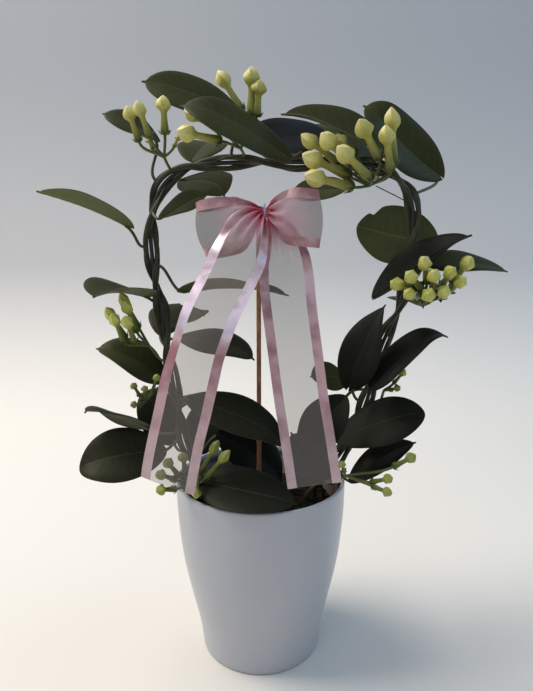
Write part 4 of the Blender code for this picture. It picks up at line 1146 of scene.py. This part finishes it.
# %% Bud rows
BUD_CLUSTERS = (
    ("buds_top_left", "vine_left", 306, (-3, -5, 7), (
        ((-16.1, -4, 9.5), (-5.5, -8, 21.7), 4.2), ((-7.4, -10, 11.1), (-6.1, -9, 21.7), 4.3),
        ((2, -6, 13.7), (0.4, -5, 24.2), 4.9), ((-7, -3, 5), (-3, -2, 7), 2.4),
        ((7, 0, 7), (4, -2, 7), 2.4))),
    ("buds_top_middle", "vine_right", 357, (-2, -8, 4), (
        ((-12.4, -12.5, 3), (-26.8, -15, 4.1), 5.4), ((-11.8, -0.5, 10.2), (-25.7, -2, 14.6), 4.9),
        ((0.1, 35.5, 30.5), (-18.0, 3.0, 28.7), 5.3), ((6.9, 8.5, 22.4), (0.9, -2, 31.5), 5.5),
        ((10.7, 8.5, 21.8), (2.5, -6, 22.9), 5.2))),
    ("buds_top_right", "vine_left", 435, (8, -13, -11), (
        ((16.2, -0.8, 13.6), (-4.3, -5, 36.4), 5.2), ((12.2, -7.8, 8.4), (-6.1, -10, 28.3), 5.3),
        ((4.4, -8.8, 16), (-16.1, -14, 23.2), 5.9), ((-0.8, -10.8, 3.6), (-24.9, -16, 18.7), 5.8),
        ((-13.1, -6.8, 12.3), (-22.3, -14, 18.8), 5.9), ((-13.7, -2.8, 5.6), (-33.3, -12, 13.4), 5.7),
        ((-12, -6.8, -1.2), (-33.9, -14, 6.5), 5.8), ((-9.6, 0.2, 20.2), (-15.1, -11, 11.8), 4.4),
        ((-19.9, 3.2, 14.7), (-27.4, -8, 18.3), 5.0))),
    ("buds_right", "vine_right", 556, (5, -15, -2), (
        ((-5.1, -7.9, 12.1), (-22.4, -24, 5.5), 4.4), ((-3, -12.9, 12.6), (-15.4, -25, 11.8), 4.4),
        ((1.1, -11.9, 15.9), (-9.4, -24, 18.4), 4.4), ((5.4, -11.9, 11.1), (-7.7, -27, 14.6), 4.4),
        ((11.9, -7.9, 12.8), (-0.8, -26, 14.5), 4.4), ((20.9, -2.9, 15.1), (6, -19, 18.6), 4.9),
        ((17.6, -7.9, 10), (1.6, -24, 10.2), 4.3), ((11.4, -10.9, 6.3), (-5.8, -27, 7.4), 4.4),
        ((3.4, -12.9, 5.8), (-9, -27, 5.6), 4.6), ((-2.9, -10.9, 6.3), (-15.9, -26, 5.4), 4.1))),
    ("buds_left", "vine_right", 166, (-10, -7, 13), (
        ((-6.4, -1.6, 13.3), (-9.6, -11, 26.6), 3.7), ((-6.9, -6.6, 11.2), (-4.9, -13, 24.3), 3.8),
        ((-15.4, -4.6, 6.5), (-9.5, -13, 24), 3.8), ((-15.7, -9.6, 4.5), (-2.6, -18, 23.2), 3.8),
        ((-7.5, -11.6, 4.2), (-1.2, -20, 22.1), 3.9))),
    ("buds_left_low", "vine_right", 147, (-12, -14.2, -8), (
        ((-4, -3, 4), (-4, -5, 11), 2.6), ((1, -6, 5), (1, -8, 9), 2.6),
        ((5, -1, 7), (5, -4, 14), 2.6), ((-2, -7, -1), (-5, -11, 3), 2.6))),
    ("buds_bottom_left", "vine_right", 69, (-4, -27, 10), (
        ((-7.3, -3, 5.1), (-11.6, -12, 10.5), 3.8), ((-5.5, 0, 6.8), (-8, -9, 16.6), 3.8),
        ((-1.3, 1, 7.9), (-0.1, -6, 19.1), 3.8), ((-7, -6, -0.4), (-11.9, -11, 4.4), 3.9),
        ((9.2, -9, 10.8), (-0.7, -8, -13.4), 3.4), ((10, -3, 10.4), (14.4, -6, 26.9), 3.4),
        ((13.9, -7, 7.7), (18.4, -8, 24.7), 3.4))),
    ("buds_bottom_right", "vine_left", 707, (10, -33, 18), (
        ((32.3, -4.2, 8.4), (13.4, -8, 12), 3.7), ((16.8, -7.2, -1.4), (12.3, -12, 8.3), 3.3),
        ((17.2, -9.2, -3.4), (10.8, -14, 0.7), 3.3), ((-2, -6, 6), (-3, -8, 10), 2.6))),
    ("buds_right_low", "vine_right", 641, (7, -5, 14), (
        ((6, -3, 6), (7, -6, 12), 2.6), ((3, -6, 2), (4, -12, 5), 2.6))),
)
print("cluster rows:", len(BUD_CLUSTERS))

# %% Clusters
# How thick a cluster's stalk and the thin stalks of its buds are at both ends, as radii
CLUSTER_STALK = (1.7, 1.5)
BUD_STALK = (0.95, 1.15)
CURVE_STEPS = 10


def curve_through(a, b, c, d, sizes):
    """Points on a curve, each with a thickness that goes from the first size to the second."""
    times = [i / CURVE_STEPS for i in range(CURVE_STEPS + 1)]
    return [(bezier(a, b, c, d, t), sizes[0] + (sizes[1] - sizes[0]) * t) for t in times]


def point_mesh(name, points, values):
    """Loose points in metres with vectors kept under names."""
    mesh = bpy.data.meshes.new(name)
    mesh.from_pydata(points, [], [])
    for label, vectors in values.items():
        data = mesh.attributes.new(label, "FLOAT_VECTOR", "POINT").data
        data.foreach_set("vector", [x for vector in vectors for x in vector])
    return mesh


def make_cluster(row):
    """A cluster of buds as one piece."""
    name, vine, place, stalk, buds = row
    middle, way = vine_at(vine, place)
    stalk = Vector(stalk)
    seat = middle + way * VINE_RADIUS
    knob = seat + stalk
    root = middle + way * STALK_ROOT
    away, before = seat + way * (0.4 * stalk.length), knob - stalk * 0.25
    lines = [curve_through(root, away, before, knob, CLUSTER_STALK)]
    feet, aims, sizes = [], [], []
    for foot, bud, head in buds:
        foot, bud = knob + Vector(foot), Vector(bud)
        aim = bud.normalized()
        before = foot - aim * (0.35 * (foot - knob).length)
        lines.append(curve_through(knob, knob.lerp(foot, 0.4), before, foot + aim * 0.5, BUD_STALK))
        feet.append(foot * MM)
        aims.append(aim)
        sizes.append(Vector((head, head, bud.length)) * MM)
    stalks = stem_mesh(name + "_stalks", lines, 1.0, calyx_green, step=1.0, sides=8, roughness=0.25)
    points = point_mesh(name + "_feet", feet, {"aim": aims, "size": sizes})
    heads = grow(name + "_buds", points, BUD_TREE, {"Bud": one_bud, "Material": bud_skin})
    add_piece(name + "_waxy", joined(name + "_waxy", [stalks, heads]), [name])


for row in BUD_CLUSTERS:
    make_cluster(row)
bpy.data.objects.remove(one_bud, do_unlink=True)
print("clusters:", len(BUD_CLUSTERS), "buds:", sum(len(row[4]) for row in BUD_CLUSTERS))

# %% [markdown]
# ## Stick
#
# The bow is carried by a thin split-bamboo stick. It is a line swept by the stem tree again, with a
# slight swelling at each joint and grain that runs along it.

# %% Stick
STICK_FOOT = (-1.0, -16.0, 70.0)
STICK_TOP = 343.0
STICK_RADIUS = 1.65
JOINT_HEIGHTS = (140.0, 228.0, 316.0)
JOINT_SWELL = 0.1
JOINT_LENGTH = 1.6


def stick_thickness(height):
    """The stick's thickness at a height, as a share of its radius."""
    closeness = [math.exp(-((height - joint) / JOINT_LENGTH) ** 2) for joint in JOINT_HEIGHTS]
    return 1.0 + JOINT_SWELL * sum(closeness)


def stick_line():
    """The stick's middle line, a little thicker at each joint."""
    x, y, foot = STICK_FOOT
    return [((x, y, z), stick_thickness(z)) for z in np.linspace(foot, STICK_TOP, 180)]


bamboo = make_bark("stick_wood", (110, 68, 40), (176, 122, 76))
mesh = stem_mesh("bamboo_stick", [stick_line()], STICK_RADIUS, bamboo, step=1.2, sides=12, roughness=0.1)
add_piece("bamboo_stick", mesh, ["stick"])
print("stick:", round(STICK_TOP - STICK_FOOT[2]), "mm, partly in the soil")

# %% [markdown]
# ## Ribbon bow
#
# The ribbon is 38 mm wide: sheer organza with a satin band woven along each edge. It is cloth, so it
# keeps its cut width wherever it goes. Where the bow squeezes it, the width that is lost goes into
# pleats, and their depth is found at each station from the width that must be taken up. Cloth
# simulation could gather it too, but the knot of a bow is so tight that drawn pleats are steadier.

# %% Ribbon cloth
RIBBON_WIDTH = 38.0
BAND_SHARE = 0.175
# Threads of the sheer part and ribs of the satin, to a metre
THREAD_COUNT = 2200.0
RIB_COUNT = 1800.0
# Where the tails pale towards their ends, in metres above the floor
PALE_HEIGHTS = (0.25, 0.15)


def weave(tree, across, along):
    """A fine over-and-under weave as a height from 0 to 1."""
    threads = [calc(tree, "PINGPONG", calc(tree, "MULTIPLY", axis, 2.0), 0.5) for axis in (across, along)]
    return calc(tree, "ADD", *threads)


def drawn(tree, name, low, high):
    """A value that the ribbon's mesh carries, as 0 to 1 between two limits."""
    return fade(tree, carried(tree, name), low, high)


def make_organza():
    """Sheer cloth: a thin grey veil, pinker with a painted glow near the knot, deep pink where bunched."""
    material, tree, shader = new_material("ribbon_sheer", 0.6, 0.25)
    place = map_place(tree, "cloth")
    threads = weave(tree, *[calc(tree, "MULTIPLY", place[axis], THREAD_COUNT) for axis in "XY"])
    cloud = soft_noise(tree, object_place(tree), 30, 2)
    veil = blend_colour(tree, cloud, screen(124, 119, 112), screen(138, 128, 122))
    # Near the knot the veil is paler and pinker: its own pink, with painted light for the glow through the
    # sheer.
    veil = blend_colour(tree, drawn(tree, "near", 0.12, 0.75), veil, screen(216, 180, 190))
    folds = fade(tree, soft_noise(tree, object_place(tree), 70, 2), 0.42, 0.62)
    rosy = calc(tree, "MULTIPLY", calc(tree, "MULTIPLY", folds, 0.6), drawn(tree, "near", 0.3, 0.8))
    pink = blend_colour(tree, rosy, veil, screen(222, 124, 146))
    pink = blend_colour(tree, drawn(tree, "gather", 0.2, 0.7), pink, screen(222, 132, 150))
    tree.links.new(blend_colour(tree, drawn(tree, "gather", 0.55, 0.85), pink, screen(206, 62, 88)),
                   shader.inputs["Base Color"])
    cover = calc(tree, "MULTIPLY_ADD", threads, 0.08, 0.42)
    cover = calc(tree, "MULTIPLY_ADD", drawn(tree, "near", 0.2, 0.8), 0.16, cover)
    tree.links.new(calc(tree, "MULTIPLY_ADD", drawn(tree, "gather", 0.02, 0.7), 0.4, cover),
                   shader.inputs["Alpha"])
    return material


def make_satin():
    """Satin: dense and smooth, with a fine rib across it and a pearly shine where it leans back."""
    material, tree, shader = new_material("ribbon_satin", 0.36, 0.6)
    rib = calc(tree, "PINGPONG", calc(tree, "MULTIPLY", map_place(tree, "cloth")["Y"], RIB_COUNT), 0.5)
    cloud = soft_noise(tree, object_place(tree), 55, 3)
    flat = blend_colour(tree, fade(tree, cloud, 0.34, 0.66), screen(156, 106, 112), screen(206, 164, 170))
    # Painted highlight: where the tails face the light the colour turns pearly white, and the same share
    # makes them metallic, so the lamps shine on them too.
    shine = calc(tree, "MULTIPLY", drawn(tree, "shine", 0.0, 1.0), fade(tree, cloud, 0.2, 0.55))
    flat = blend_colour(tree, shine, flat, screen(240, 222, 234))
    pale = calc(tree, "MULTIPLY", fade(tree, height_at(tree), *PALE_HEIGHTS), 0.5)
    flat = blend_colour(tree, pale, flat, screen(216, 200, 198))
    tree.links.new(blend_colour(tree, drawn(tree, "gather", 0.3, 0.8), flat, screen(206, 84, 106)),
                   shader.inputs["Base Color"])
    tree.links.new(calc(tree, "MULTIPLY", shine, 0.85), shader.inputs["Metallic"])
    add_bump(tree, shader, rib, 0.25, 0.0003)
    shader.inputs["Sheen Weight"].default_value = 0.3
    shader.inputs["Sheen Roughness"].default_value = 0.4
    shader.inputs["Anisotropic"].default_value = 0.5
    return material


organza = make_organza()
satin = make_satin()
print("ribbon:", RIBBON_WIDTH, "mm wide, each band", round(BAND_SHARE * RIBBON_WIDTH, 1), "mm")

# %% Pleats
THREADS = 81
FOLDS = 4
# The ribbon is one low arch until it has lost the first share of its width to the squeeze, and it is
# all folds when it has lost the second share too.
FOLD_START = 0.08
FOLD_SPAN = 0.4


def pleated(width, phase):
    """Across a gathered ribbon: (place across, place out) of evenly spaced threads of the cloth."""
    fine = np.linspace(-0.5, 0.5, 321)
    squeeze = min(max((1 - width / RIBBON_WIDTH - FOLD_START) / FOLD_SPAN, 0.0), 1.0)
    wave = squeeze * np.sin(2 * math.pi * FOLDS * fine + phase) + (1 - squeeze) * np.cos(math.pi * fine)
    low, high = 0.0, RIBBON_WIDTH
    for _ in range(26):
        depth = (low + high) / 2
        lengths = np.hypot(np.diff(fine * width), np.diff(wave * depth))
        low, high = (depth, high) if lengths.sum() < RIBBON_WIDTH else (low, depth)
    steps = np.concatenate(([0.0], np.cumsum(lengths)))
    even = np.linspace(0, steps[-1], THREADS)
    return np.interp(even, steps, fine * width), np.interp(even, steps, (wave - wave.mean()) * depth)


print("pleats: folds of", round(float(np.ptp(pleated(RIBBON_WIDTH / 2, 0.0)[1])), 1), "mm at half width")


# %% Ribbon stations
# Each station is (middle of the ribbon, vector from the middle to one edge).
RIBBONS = (
    ("bow_loop_left", (
        ((0.2, -27.0, 338.9), (0.0, 0.0, 2.6)), ((-5.1, -31.0, 336.8), (-1.3, 0.0, 8.4)),
        ((-13.3, -34.2, 332.5), (-2.2, -0.3, 15.1)), ((-22.1, -35.7, 330.2), (-2.4, -0.2, 18.0)),
        ((-31.3, -35.5, 328.5), (-2.3, -0.5, 18.4)), ((-37.5, -33.8, 327.3), (-2.9, -0.2, 18.2)),
        ((-40.7, -30.8, 326.3), (-3.1, -0.2, 17.7)), ((-37.8, -28.0, 326.6), (-3.3, 0.0, 18.7)),
        ((-28.8, -26.5, 327.4), (-2.8, 0.0, 18.8)), ((-16.7, -25.0, 330.1), (-3.2, 0.0, 18.4)),
        ((-6.3, -23.5, 333.9), (-1.6, 0.0, 12.1)), ((0.2, -22.0, 339.1), (0.0, 0.0, 2.6)))),
    ("bow_loop_right", (
        ((6.4, -27.0, 338.9), (0.0, 0.0, 2.6)), ((9.1, -31.0, 336.8), (0.3, 0.0, 10.4)),
        ((14.7, -34.2, 336.2), (0.6, -0.3, 15.6)), ((22.5, -35.7, 335.6), (0.5, -0.2, 18.2)),
        ((31.7, -35.5, 335.0), (-0.3, 0.0, 18.9)), ((38.1, -33.5, 334.4), (-0.6, 0.0, 18.7)),
        ((40.9, -31.0, 333.9), (-0.5, 0.0, 18.3)), ((38.3, -28.0, 334.2), (-0.3, 0.0, 18.3)),
        ((29.3, -26.5, 334.9), (0.1, 0.0, 18.4)), ((19.0, -25.0, 335.3), (0.6, 0.0, 16.8)),
        ((10.6, -23.6, 336.4), (0.3, 0.0, 10.6)), ((6.5, -22.2, 339.1), (0.0, 0.0, 2.6)))),
    ("bow_tail_left", (
        ((0.8, -29.5, 337.7), (0.9, 0.0, -1.5)), ((-1.1, -33.0, 336.5), (5.3, 0.0, -4.2)),
        ((-4.5, -37.7, 332.2), (9.5, 0.2, -7.0)), ((-8.3, -41.7, 325.3), (13.4, -0.8, -7.2)),
        ((-12.7, -44.7, 313.8), (16.2, -2.8, -6.9)), ((-17.8, -48.5, 302.2), (17.1, -4.8, -6.8)),
        ((-23.7, -52.5, 290.3), (17.0, -5.6, -6.3)), ((-30.0, -56.8, 278.1), (17.1, -5.5, -6.2)),
        ((-35.9, -60.5, 263.6), (17.0, -4.0, -5.5)), ((-41.1, -62.2, 248.0), (17.3, -2.2, -3.4)),
        ((-45.9, -62.5, 229.2), (18.5, -1.5, -1.9)), ((-50.9, -61.8, 208.4), (18.9, -1.2, -1.6)),
        ((-55.7, -61.0, 189.6), (19.0, -0.9, -1.0)), ((-59.3, -60.5, 173.2), (18.7, -1.0, -3.0)),
        ((-62.3, -60.0, 157.6), (17.9, -1.0, -6.4)))),
    ("bow_tail_right", (
        ((5.3, -20.8, 333.2), (1.0, 0.0, 0.3)), ((9.1, -20.2, 332.8), (5.3, 0.0, 3.7)),
        ((13.2, -20.2, 328.0), (9.1, 0.0, 2.9)), ((15.8, -20.4, 320.1), (12.3, 0.0, 2.4)),
        ((17.2, -21.3, 310.9), (15.5, 0.2, 2.0)), ((17.9, -23.5, 300.2), (17.5, 0.5, 1.3)),
        ((18.8, -27.0, 287.4), (18.7, 1.0, 0.6)), ((20.3, -31.0, 273.4), (18.9, 2.0, -0.3)),
        ((22.5, -35.5, 256.9), (18.8, 2.4, -0.4)), ((25.1, -40.7, 237.1), (18.8, 2.7, -0.6)),
        ((28.0, -46.0, 215.4), (18.8, 2.9, -0.9)), ((31.3, -50.5, 195.3), (18.7, 3.4, -0.2)),
        ((34.4, -54.5, 175.7), (18.7, 3.4, 0.0)), ((37.2, -57.8, 157.3), (18.6, 3.7, 0.8)))),
)

# %% Ribbon sheets
STATION_STEPS = 8
# The ribbon is a little wider than its stations say, and never wider than this share of its cut.
EASE = 1.022
WIDEST = 0.998
# The creases and painted glow reach this far from the knot; their phase drifts as the ribbon runs on.
KNOT_CENTRE = Vector((3.2, -24.0, 338.6))
CREASED = 50.0
FIRST_PHASE = 0.6
PHASE_DRIFT = 0.02
# The satin of the tails has a painted highlight, and a metallic shine, where it faces this way.
SHINE_WAY = Vector((-0.5, -0.3, 0.8))
SHINE_RANGE = (0.43, 0.57)


def arch_side(middles, halves):
    """1 or -1, so that the ribbon arches away from the middle of its own course."""
    heart = sum(middles, Vector()) / len(middles)
    front = len(middles) // 4
    away = middles[front] - heart
    return 1 if halves[front].cross(middles[front + 1] - middles[front]).dot(away) > 0 else -1


def ribbon_mesh(name, stations):
    """One length of ribbon as a single sheet, pleated where it is squeezed."""
    middles = rounded([middle for middle, _ in stations], STATION_STEPS)
    halves = rounded([half for _, half in stations], STATION_STEPS)
    shape = bmesh.new()
    skin = shape.loops.layers.uv.new("cloth")
    gather, near, shine = [shape.verts.layers.float.new(kind) for kind in ("gather", "near", "shine")]
    sign = arch_side(middles, halves)
    rows, run, runs = [], 0.0, []
    for i, (middle, half) in enumerate(zip(middles, halves)):
        ahead = middles[min(i + 1, len(middles) - 1)] - middles[max(i - 1, 0)]
        out = half.cross(ahead).normalized() * sign
        facing = SHINE_WAY.dot(out if out.y < 0 else -out)
        run += (middle - middles[max(i - 1, 0)]).length
        runs.append(run * MM)
        width = min(EASE * 2 * half.length, RIBBON_WIDTH * WIDEST)
        across = half.normalized()
        row = [shape.verts.new(middle + across * float(x) + out * float(depth))
               for x, depth in zip(*pleated(width, FIRST_PHASE + PHASE_DRIFT * run))]
        for corner in row:
            corner[gather] = 1 - width / RIBBON_WIDTH
            corner[near] = max(0.0, 1 - (middle - KNOT_CENTRE).length / CREASED)
            corner[shine] = float(np.interp(facing, SHINE_RANGE, (0, 1))) if "tail" in name else 0.0
        rows.append(row)
    for i in range(len(rows) - 1):
        for j in range(THREADS - 1):
            places = ((i, j), (i, j + 1), (i + 1, j + 1), (i + 1, j))
            made = shape.faces.new([rows[a][b] for a, b in places])
            share = (j + 0.5) / (THREADS - 1)
            made.material_index = 1 if min(share, 1 - share) < BAND_SHARE else 0
            for loop, (a, b) in zip(made.loops, places):
                loop[skin].uv = (b / (THREADS - 1) * RIBBON_WIDTH * MM, runs[a])
    return mesh_from(shape, name, [organza, satin]), run


for name, stations in RIBBONS:
    mesh, run = ribbon_mesh(name + "_cloth", stations)
    piece = add_piece(name + "_cloth", mesh, [name])
    print(name, "cut:", round(run), "mm of ribbon")

# %% [markdown]
# The knot is the ribbon squeezed into a tight waist, with its pleats running into the loops on both
# sides. A thin pale-blue wire binds it and holds it to the stick.

# %% Knot
KNOT_HALF_LENGTH = 2.7
KNOT_RADII = (4.0, 4.2)
KNOT_WAIST = 0.62
KNOT_FOLDS = 7
KNOT_STEPS = 14
KNOT_SIDES = 84


def knot_ring(shape, share):
    """One ring of the knot, at a share of its half length from the middle: a circle with folds."""
    waist = KNOT_WAIST + (1 - KNOT_WAIST) * share * share
    ring = []
    for angle in circle(KNOT_SIDES):
        fold = 1 + (0.1 + 0.1 * abs(share)) * math.cos(KNOT_FOLDS * angle + 0.7 * share)
        fold += 0.05 * math.cos(3 * angle + 1.0)
        spot = Vector((share * KNOT_HALF_LENGTH, KNOT_RADII[0] * math.cos(angle) * fold * waist,
                       KNOT_RADII[1] * math.sin(angle) * fold * waist))
        ring.append(shape.verts.new(KNOT_CENTRE + spot))
    return ring


def knot_mesh(material):
    """The waist of the bow: a short pleated bundle along X, narrow in the middle."""
    shape = bmesh.new()
    skin = shape.loops.layers.uv.new("cloth")
    rings = [knot_ring(shape, 2 * i / KNOT_STEPS - 1) for i in range(KNOT_STEPS + 1)]
    for face in bridged(shape, rings):
        for loop in face.loops:
            loop[skin].uv = (loop.vert.co.z * MM, loop.vert.co.x * MM)
    capped(shape, rings)
    bmesh.ops.recalc_face_normals(shape, faces=shape.faces)
    return mesh_from(shape, "bow_waist", [material])


# Folded on itself, the satin looks a deeper pink.
satin_deep = clouded("ribbon_satin_bunched", (176, 66, 96), (226, 130, 156), 220, 0.4, 0.4, detail=3.0)
satin_deep.node_tree.nodes["Principled BSDF"].inputs["Sheen Weight"].default_value = 0.3
add_piece("bow_waist", knot_mesh(satin_deep), ["bow_knot"])
print("knot:", 2 * KNOT_HALF_LENGTH, "mm wide")

# %% Tie wire
TIE_ROUTE = (
    (3.2, -29.5, 338.6), (3.2, -29.0, 343.3), (3.2, -24.0, 344.0), (3.1, -19.1, 343.3),
    (1.7, -15.6, 342.0), (-1.0, -13.4, 340.4), (-3.7, -15.8, 338.4), (-3.0, -18.3, 336.6),
    (-0.2, -18.5, 334.9), (2.9, -18.9, 333.7), (3.2, -24.0, 333.2), (3.2, -29.0, 334.0),
    (3.2, -29.5, 338.6),
)
TIE_RADIUS = 0.6

tie_coat = clouded("tie_blue", (150, 178, 202), (182, 204, 222), 300, 0.35)
tie_line = [(point, 1.0) for point in rounded(TIE_ROUTE, steps=6)]
mesh = stem_mesh("tie_wire", [tie_line], TIE_RADIUS, tie_coat, step=0.7, sides=8)
add_piece("tie_wire", mesh, ["bow_tie_wire"])
print("tie wire:", len(mesh.polygons), "faces")

# %% [markdown]
# ## Soil
#
# Potting soil is a rough bed of dark crumbs. The bed itself is a low crown with uneven ground, and a
# tree scatters crumbs of many sizes on it. They are real grains and not a bump, because the soil shows
# between the leaves from above.

# %% Soil bed and crumbs
SOIL_TOP = 120.0
SOIL_CROWN = 4.0
SOIL_RADIUS = 55.3
# The bed is this much below the soil's top, so that the crumbs on it reach that height.
BED_DROP = 1.5
BED_FOOT = 2.3
SOIL_RINGS = 22
SOIL_SIDES = 72
# Uneven ground: how fine each noise is and how high, in millimetres
GROUND = ((0.09, 1.6), (0.3, 0.9))
CRUMBS_PER_SQUARE_METRE = 420000.0
LARGEST_CRUMB = 1.7
# Crumbs lie where a face's normal points up by more than this.
UPWARD = 0.5
CRUMB_SEED = 4
CRUMB_TURN_SEED = 9


def soil_bed(material):
    """The soil's body: an uneven crown over a plain tapered side."""
    shape = bmesh.new()
    rings = []
    for radius in np.linspace(0, SOIL_RADIUS, SOIL_RINGS):
        ring = []
        for angle in circle(SOIL_SIDES if radius else 1):
            spot = Vector((radius * math.cos(angle), radius * math.sin(angle), 0))
            rise = SOIL_CROWN * (1 - (radius / SOIL_RADIUS) ** 2)
            rise += sum(height * noise.noise(spot * fineness) for fineness, height in GROUND)
            ring.append(shape.verts.new((spot.x, spot.y, SOIL_TOP - BED_DROP + rise)))
        rings.append(ring)
    radius, foot = GROWER_FOOT[0] - GROWER_WALL, GROWER_FOOT[1] + BED_FOOT
    spots = [(radius * math.cos(a), radius * math.sin(a), foot) for a in circle(SOIL_SIDES)]
    rings.append([shape.verts.new(spot) for spot in spots])
    bridged(shape, rings)
    shape.faces.new(rings[-1])
    bmesh.ops.recalc_face_normals(shape, faces=shape.faces)
    return mesh_from(shape, "soil_bed", [material])


def build_crumb_tree():
    """Crumbs of many sizes over the upper side of a bed, with the bed kept."""
    tree, given, output = shape_tree("crumbs", [
        ("Per Square Metre", "Float"), ("Largest", "Float"), ("Seed", "Int"), ("Material", "Material")])
    normal = parts_of(tree, add_node(tree, "GeometryNodeInputNormal").outputs[0])["Z"]
    limits = {0: normal, 1: UPWARD}
    facing_up = add_node(tree, "FunctionNodeCompare", limits, operation="GREATER_THAN").outputs[0]
    # Asked of whole faces, or the smooth shading at the rim would let crumbs down the soil's side.
    upward = add_node(tree, "GeometryNodeFieldOnDomain", {0: facing_up}, data_type="BOOLEAN", domain="FACE")
    points = add_node(tree, "GeometryNodeDistributePointsOnFaces", {
        "Mesh": given["Geometry"], "Selection": upward.outputs[0], "Density": given["Per Square Metre"],
        "Seed": given["Seed"]}).outputs["Points"]
    grain = add_node(tree, "GeometryNodeMeshIcoSphere", {"Radius": 1.0, "Subdivisions": 1}).outputs[0]
    any_size = {"Min": (0.25, 0.25, 0.2), "Max": (1, 1, 0.7), "Seed": given["Seed"]}
    size = add_node(tree, "FunctionNodeRandomValue", any_size, data_type="FLOAT_VECTOR").outputs[0]
    any_turn = {"Max": (6.3, 6.3, 6.3), "Seed": CRUMB_TURN_SEED}
    turn = add_node(tree, "FunctionNodeRandomValue", any_turn, data_type="FLOAT_VECTOR").outputs[0]
    crumbs = add_node(tree, "GeometryNodeInstanceOnPoints", {
        "Points": points, "Instance": grain, "Rotation": turn,
        "Scale": scaled(tree, size, given["Largest"])}).outputs[0]
    both = tree.nodes.new("GeometryNodeJoinGeometry")
    tree.links.new(crumbs, both.inputs[0])
    tree.links.new(given["Geometry"], both.inputs[0])
    finish_tree(tree, both.outputs[0], given["Material"], output)
    return tree


def make_soil():
    """Damp dark soil, browner and greyer from crumb to crumb."""
    material, tree, shader = new_material("soil", 0.95, 0.2)
    cloud = fade(tree, soft_noise(tree, object_place(tree), 240, 2), 0.35, 0.7)
    colour = blend_colour(tree, cloud, screen(22, 17, 14), screen(50, 39, 31))
    tree.links.new(colour, shader.inputs["Base Color"])
    add_bump(tree, shader, soft_noise(tree, object_place(tree), 1500, 2), 0.6, 0.0008)
    return material


soil_dark = make_soil()
sizes = {"Per Square Metre": CRUMBS_PER_SQUARE_METRE, "Largest": LARGEST_CRUMB * MM, "Seed": CRUMB_SEED,
         "Material": soil_dark}
mesh = grow("potting_soil", soil_bed(soil_dark), build_crumb_tree(), sizes)
add_piece("potting_soil", mesh, ["soil"])
print("soil faces:", len(mesh.polygons))

# %% [markdown]
# ## Floor and light
#
# The floor runs up into a plain wall behind, so the background has no corner, and the sheet has painted
# shade that greys it towards its top. The main light comes from the upper left and a little behind,
# which leaves the front of the pot in soft shade. A weak one in front gives the satin its shine, and a
# cool one from the right tints the shaded side. A pale blue sky fills in the rest.

# %% Floor
PAPER_HALF_WIDTH = 3000
PAPER_FRONT = -1500
PAPER_BEND = 520
PAPER_BEND_RADIUS = 260
PAPER_TOP = 2600


def make_paper():
    """Matt paper with painted shade that makes it a little darker with height."""
    material, tree, shader = new_material("paper", 0.9, 0.1)
    height = height_at(tree)
    # Painted shade: the sheet greys towards its top, standing in for the light that falls off up the wall.
    colour = blend_colour(tree, fade(tree, height, -0.06, 0.3), screen(223, 219, 213), screen(205, 205, 207))
    colour = blend_colour(tree, fade(tree, height, 0.2, 0.7), colour, screen(176, 179, 184))
    tree.links.new(colour, shader.inputs["Base Color"])
    return material


def make_floor():
    """A pale sheet that lies flat and then curves up behind the plant."""
    shape = bmesh.new()
    radius = PAPER_BEND_RADIUS
    turns = np.linspace(0, math.pi / 2, 20)
    bend = [(PAPER_BEND + radius * math.sin(a), radius * (1 - math.cos(a))) for a in turns]
    section = [(PAPER_FRONT, 0), (0, 0), *bend, (PAPER_BEND + radius, PAPER_TOP)]
    rows = [[shape.verts.new((x, y, z)) for x in (-PAPER_HALF_WIDTH, PAPER_HALF_WIDTH)] for y, z in section]
    for near, far in zip(rows, rows[1:]):
        shape.faces.new((near[0], near[1], far[1], far[0]))
    sheet = bpy.data.objects.new("paper", mesh_from(shape, "paper", [make_paper()]))
    scene.collection.objects.link(sheet)
    print("paper:", 2 * PAPER_HALF_WIDTH, "mm wide")


make_floor()

# %% Lights
def add_light(name, place, target, size, power, colour, spread):
    """A soft square light that points at a target and spreads over an angle in degrees."""
    data = bpy.data.lights.new(name, "AREA")
    data.size = size
    data.energy = power
    data.color = colour
    data.spread = math.radians(spread)
    light = bpy.data.objects.new(name, data)
    light.location = place
    way = Vector(target) - Vector(place)
    light.rotation_euler = way.to_track_quat("-Z", "Y").to_euler()
    scene.collection.objects.link(light)
    print("light:", name, power, "W")


add_light("above", (-1.1, 0.27, 1.7), (-0.05, 0.2, 0.0), size=1.3, power=19.4,
          colour=(1.0, 0.93, 0.83), spread=110)
add_light("front_left", (-0.5, -0.98, 1.03), (-0.03, -0.05, 0.28), size=0.6, power=1.35,
          colour=(0.97, 0.93, 1.0), spread=180)
add_light("cool_right", (1.5, 0.2, 1.2), (0.2, 0.3, 0.0), size=1.0, power=6.5,
          colour=(0.4, 0.7, 1.0), spread=180)

# %% Sky
SKY_COLOUR = (0.77, 0.875, 1.0, 1.0)
SKY_STRENGTH = 0.42

world = bpy.data.worlds.new("studio")
world.use_nodes = True
background = world.node_tree.nodes["Background"]
background.inputs["Color"].default_value = SKY_COLOUR
background.inputs["Strength"].default_value = SKY_STRENGTH
scene.world = world
scene.view_settings.view_transform = "Standard"
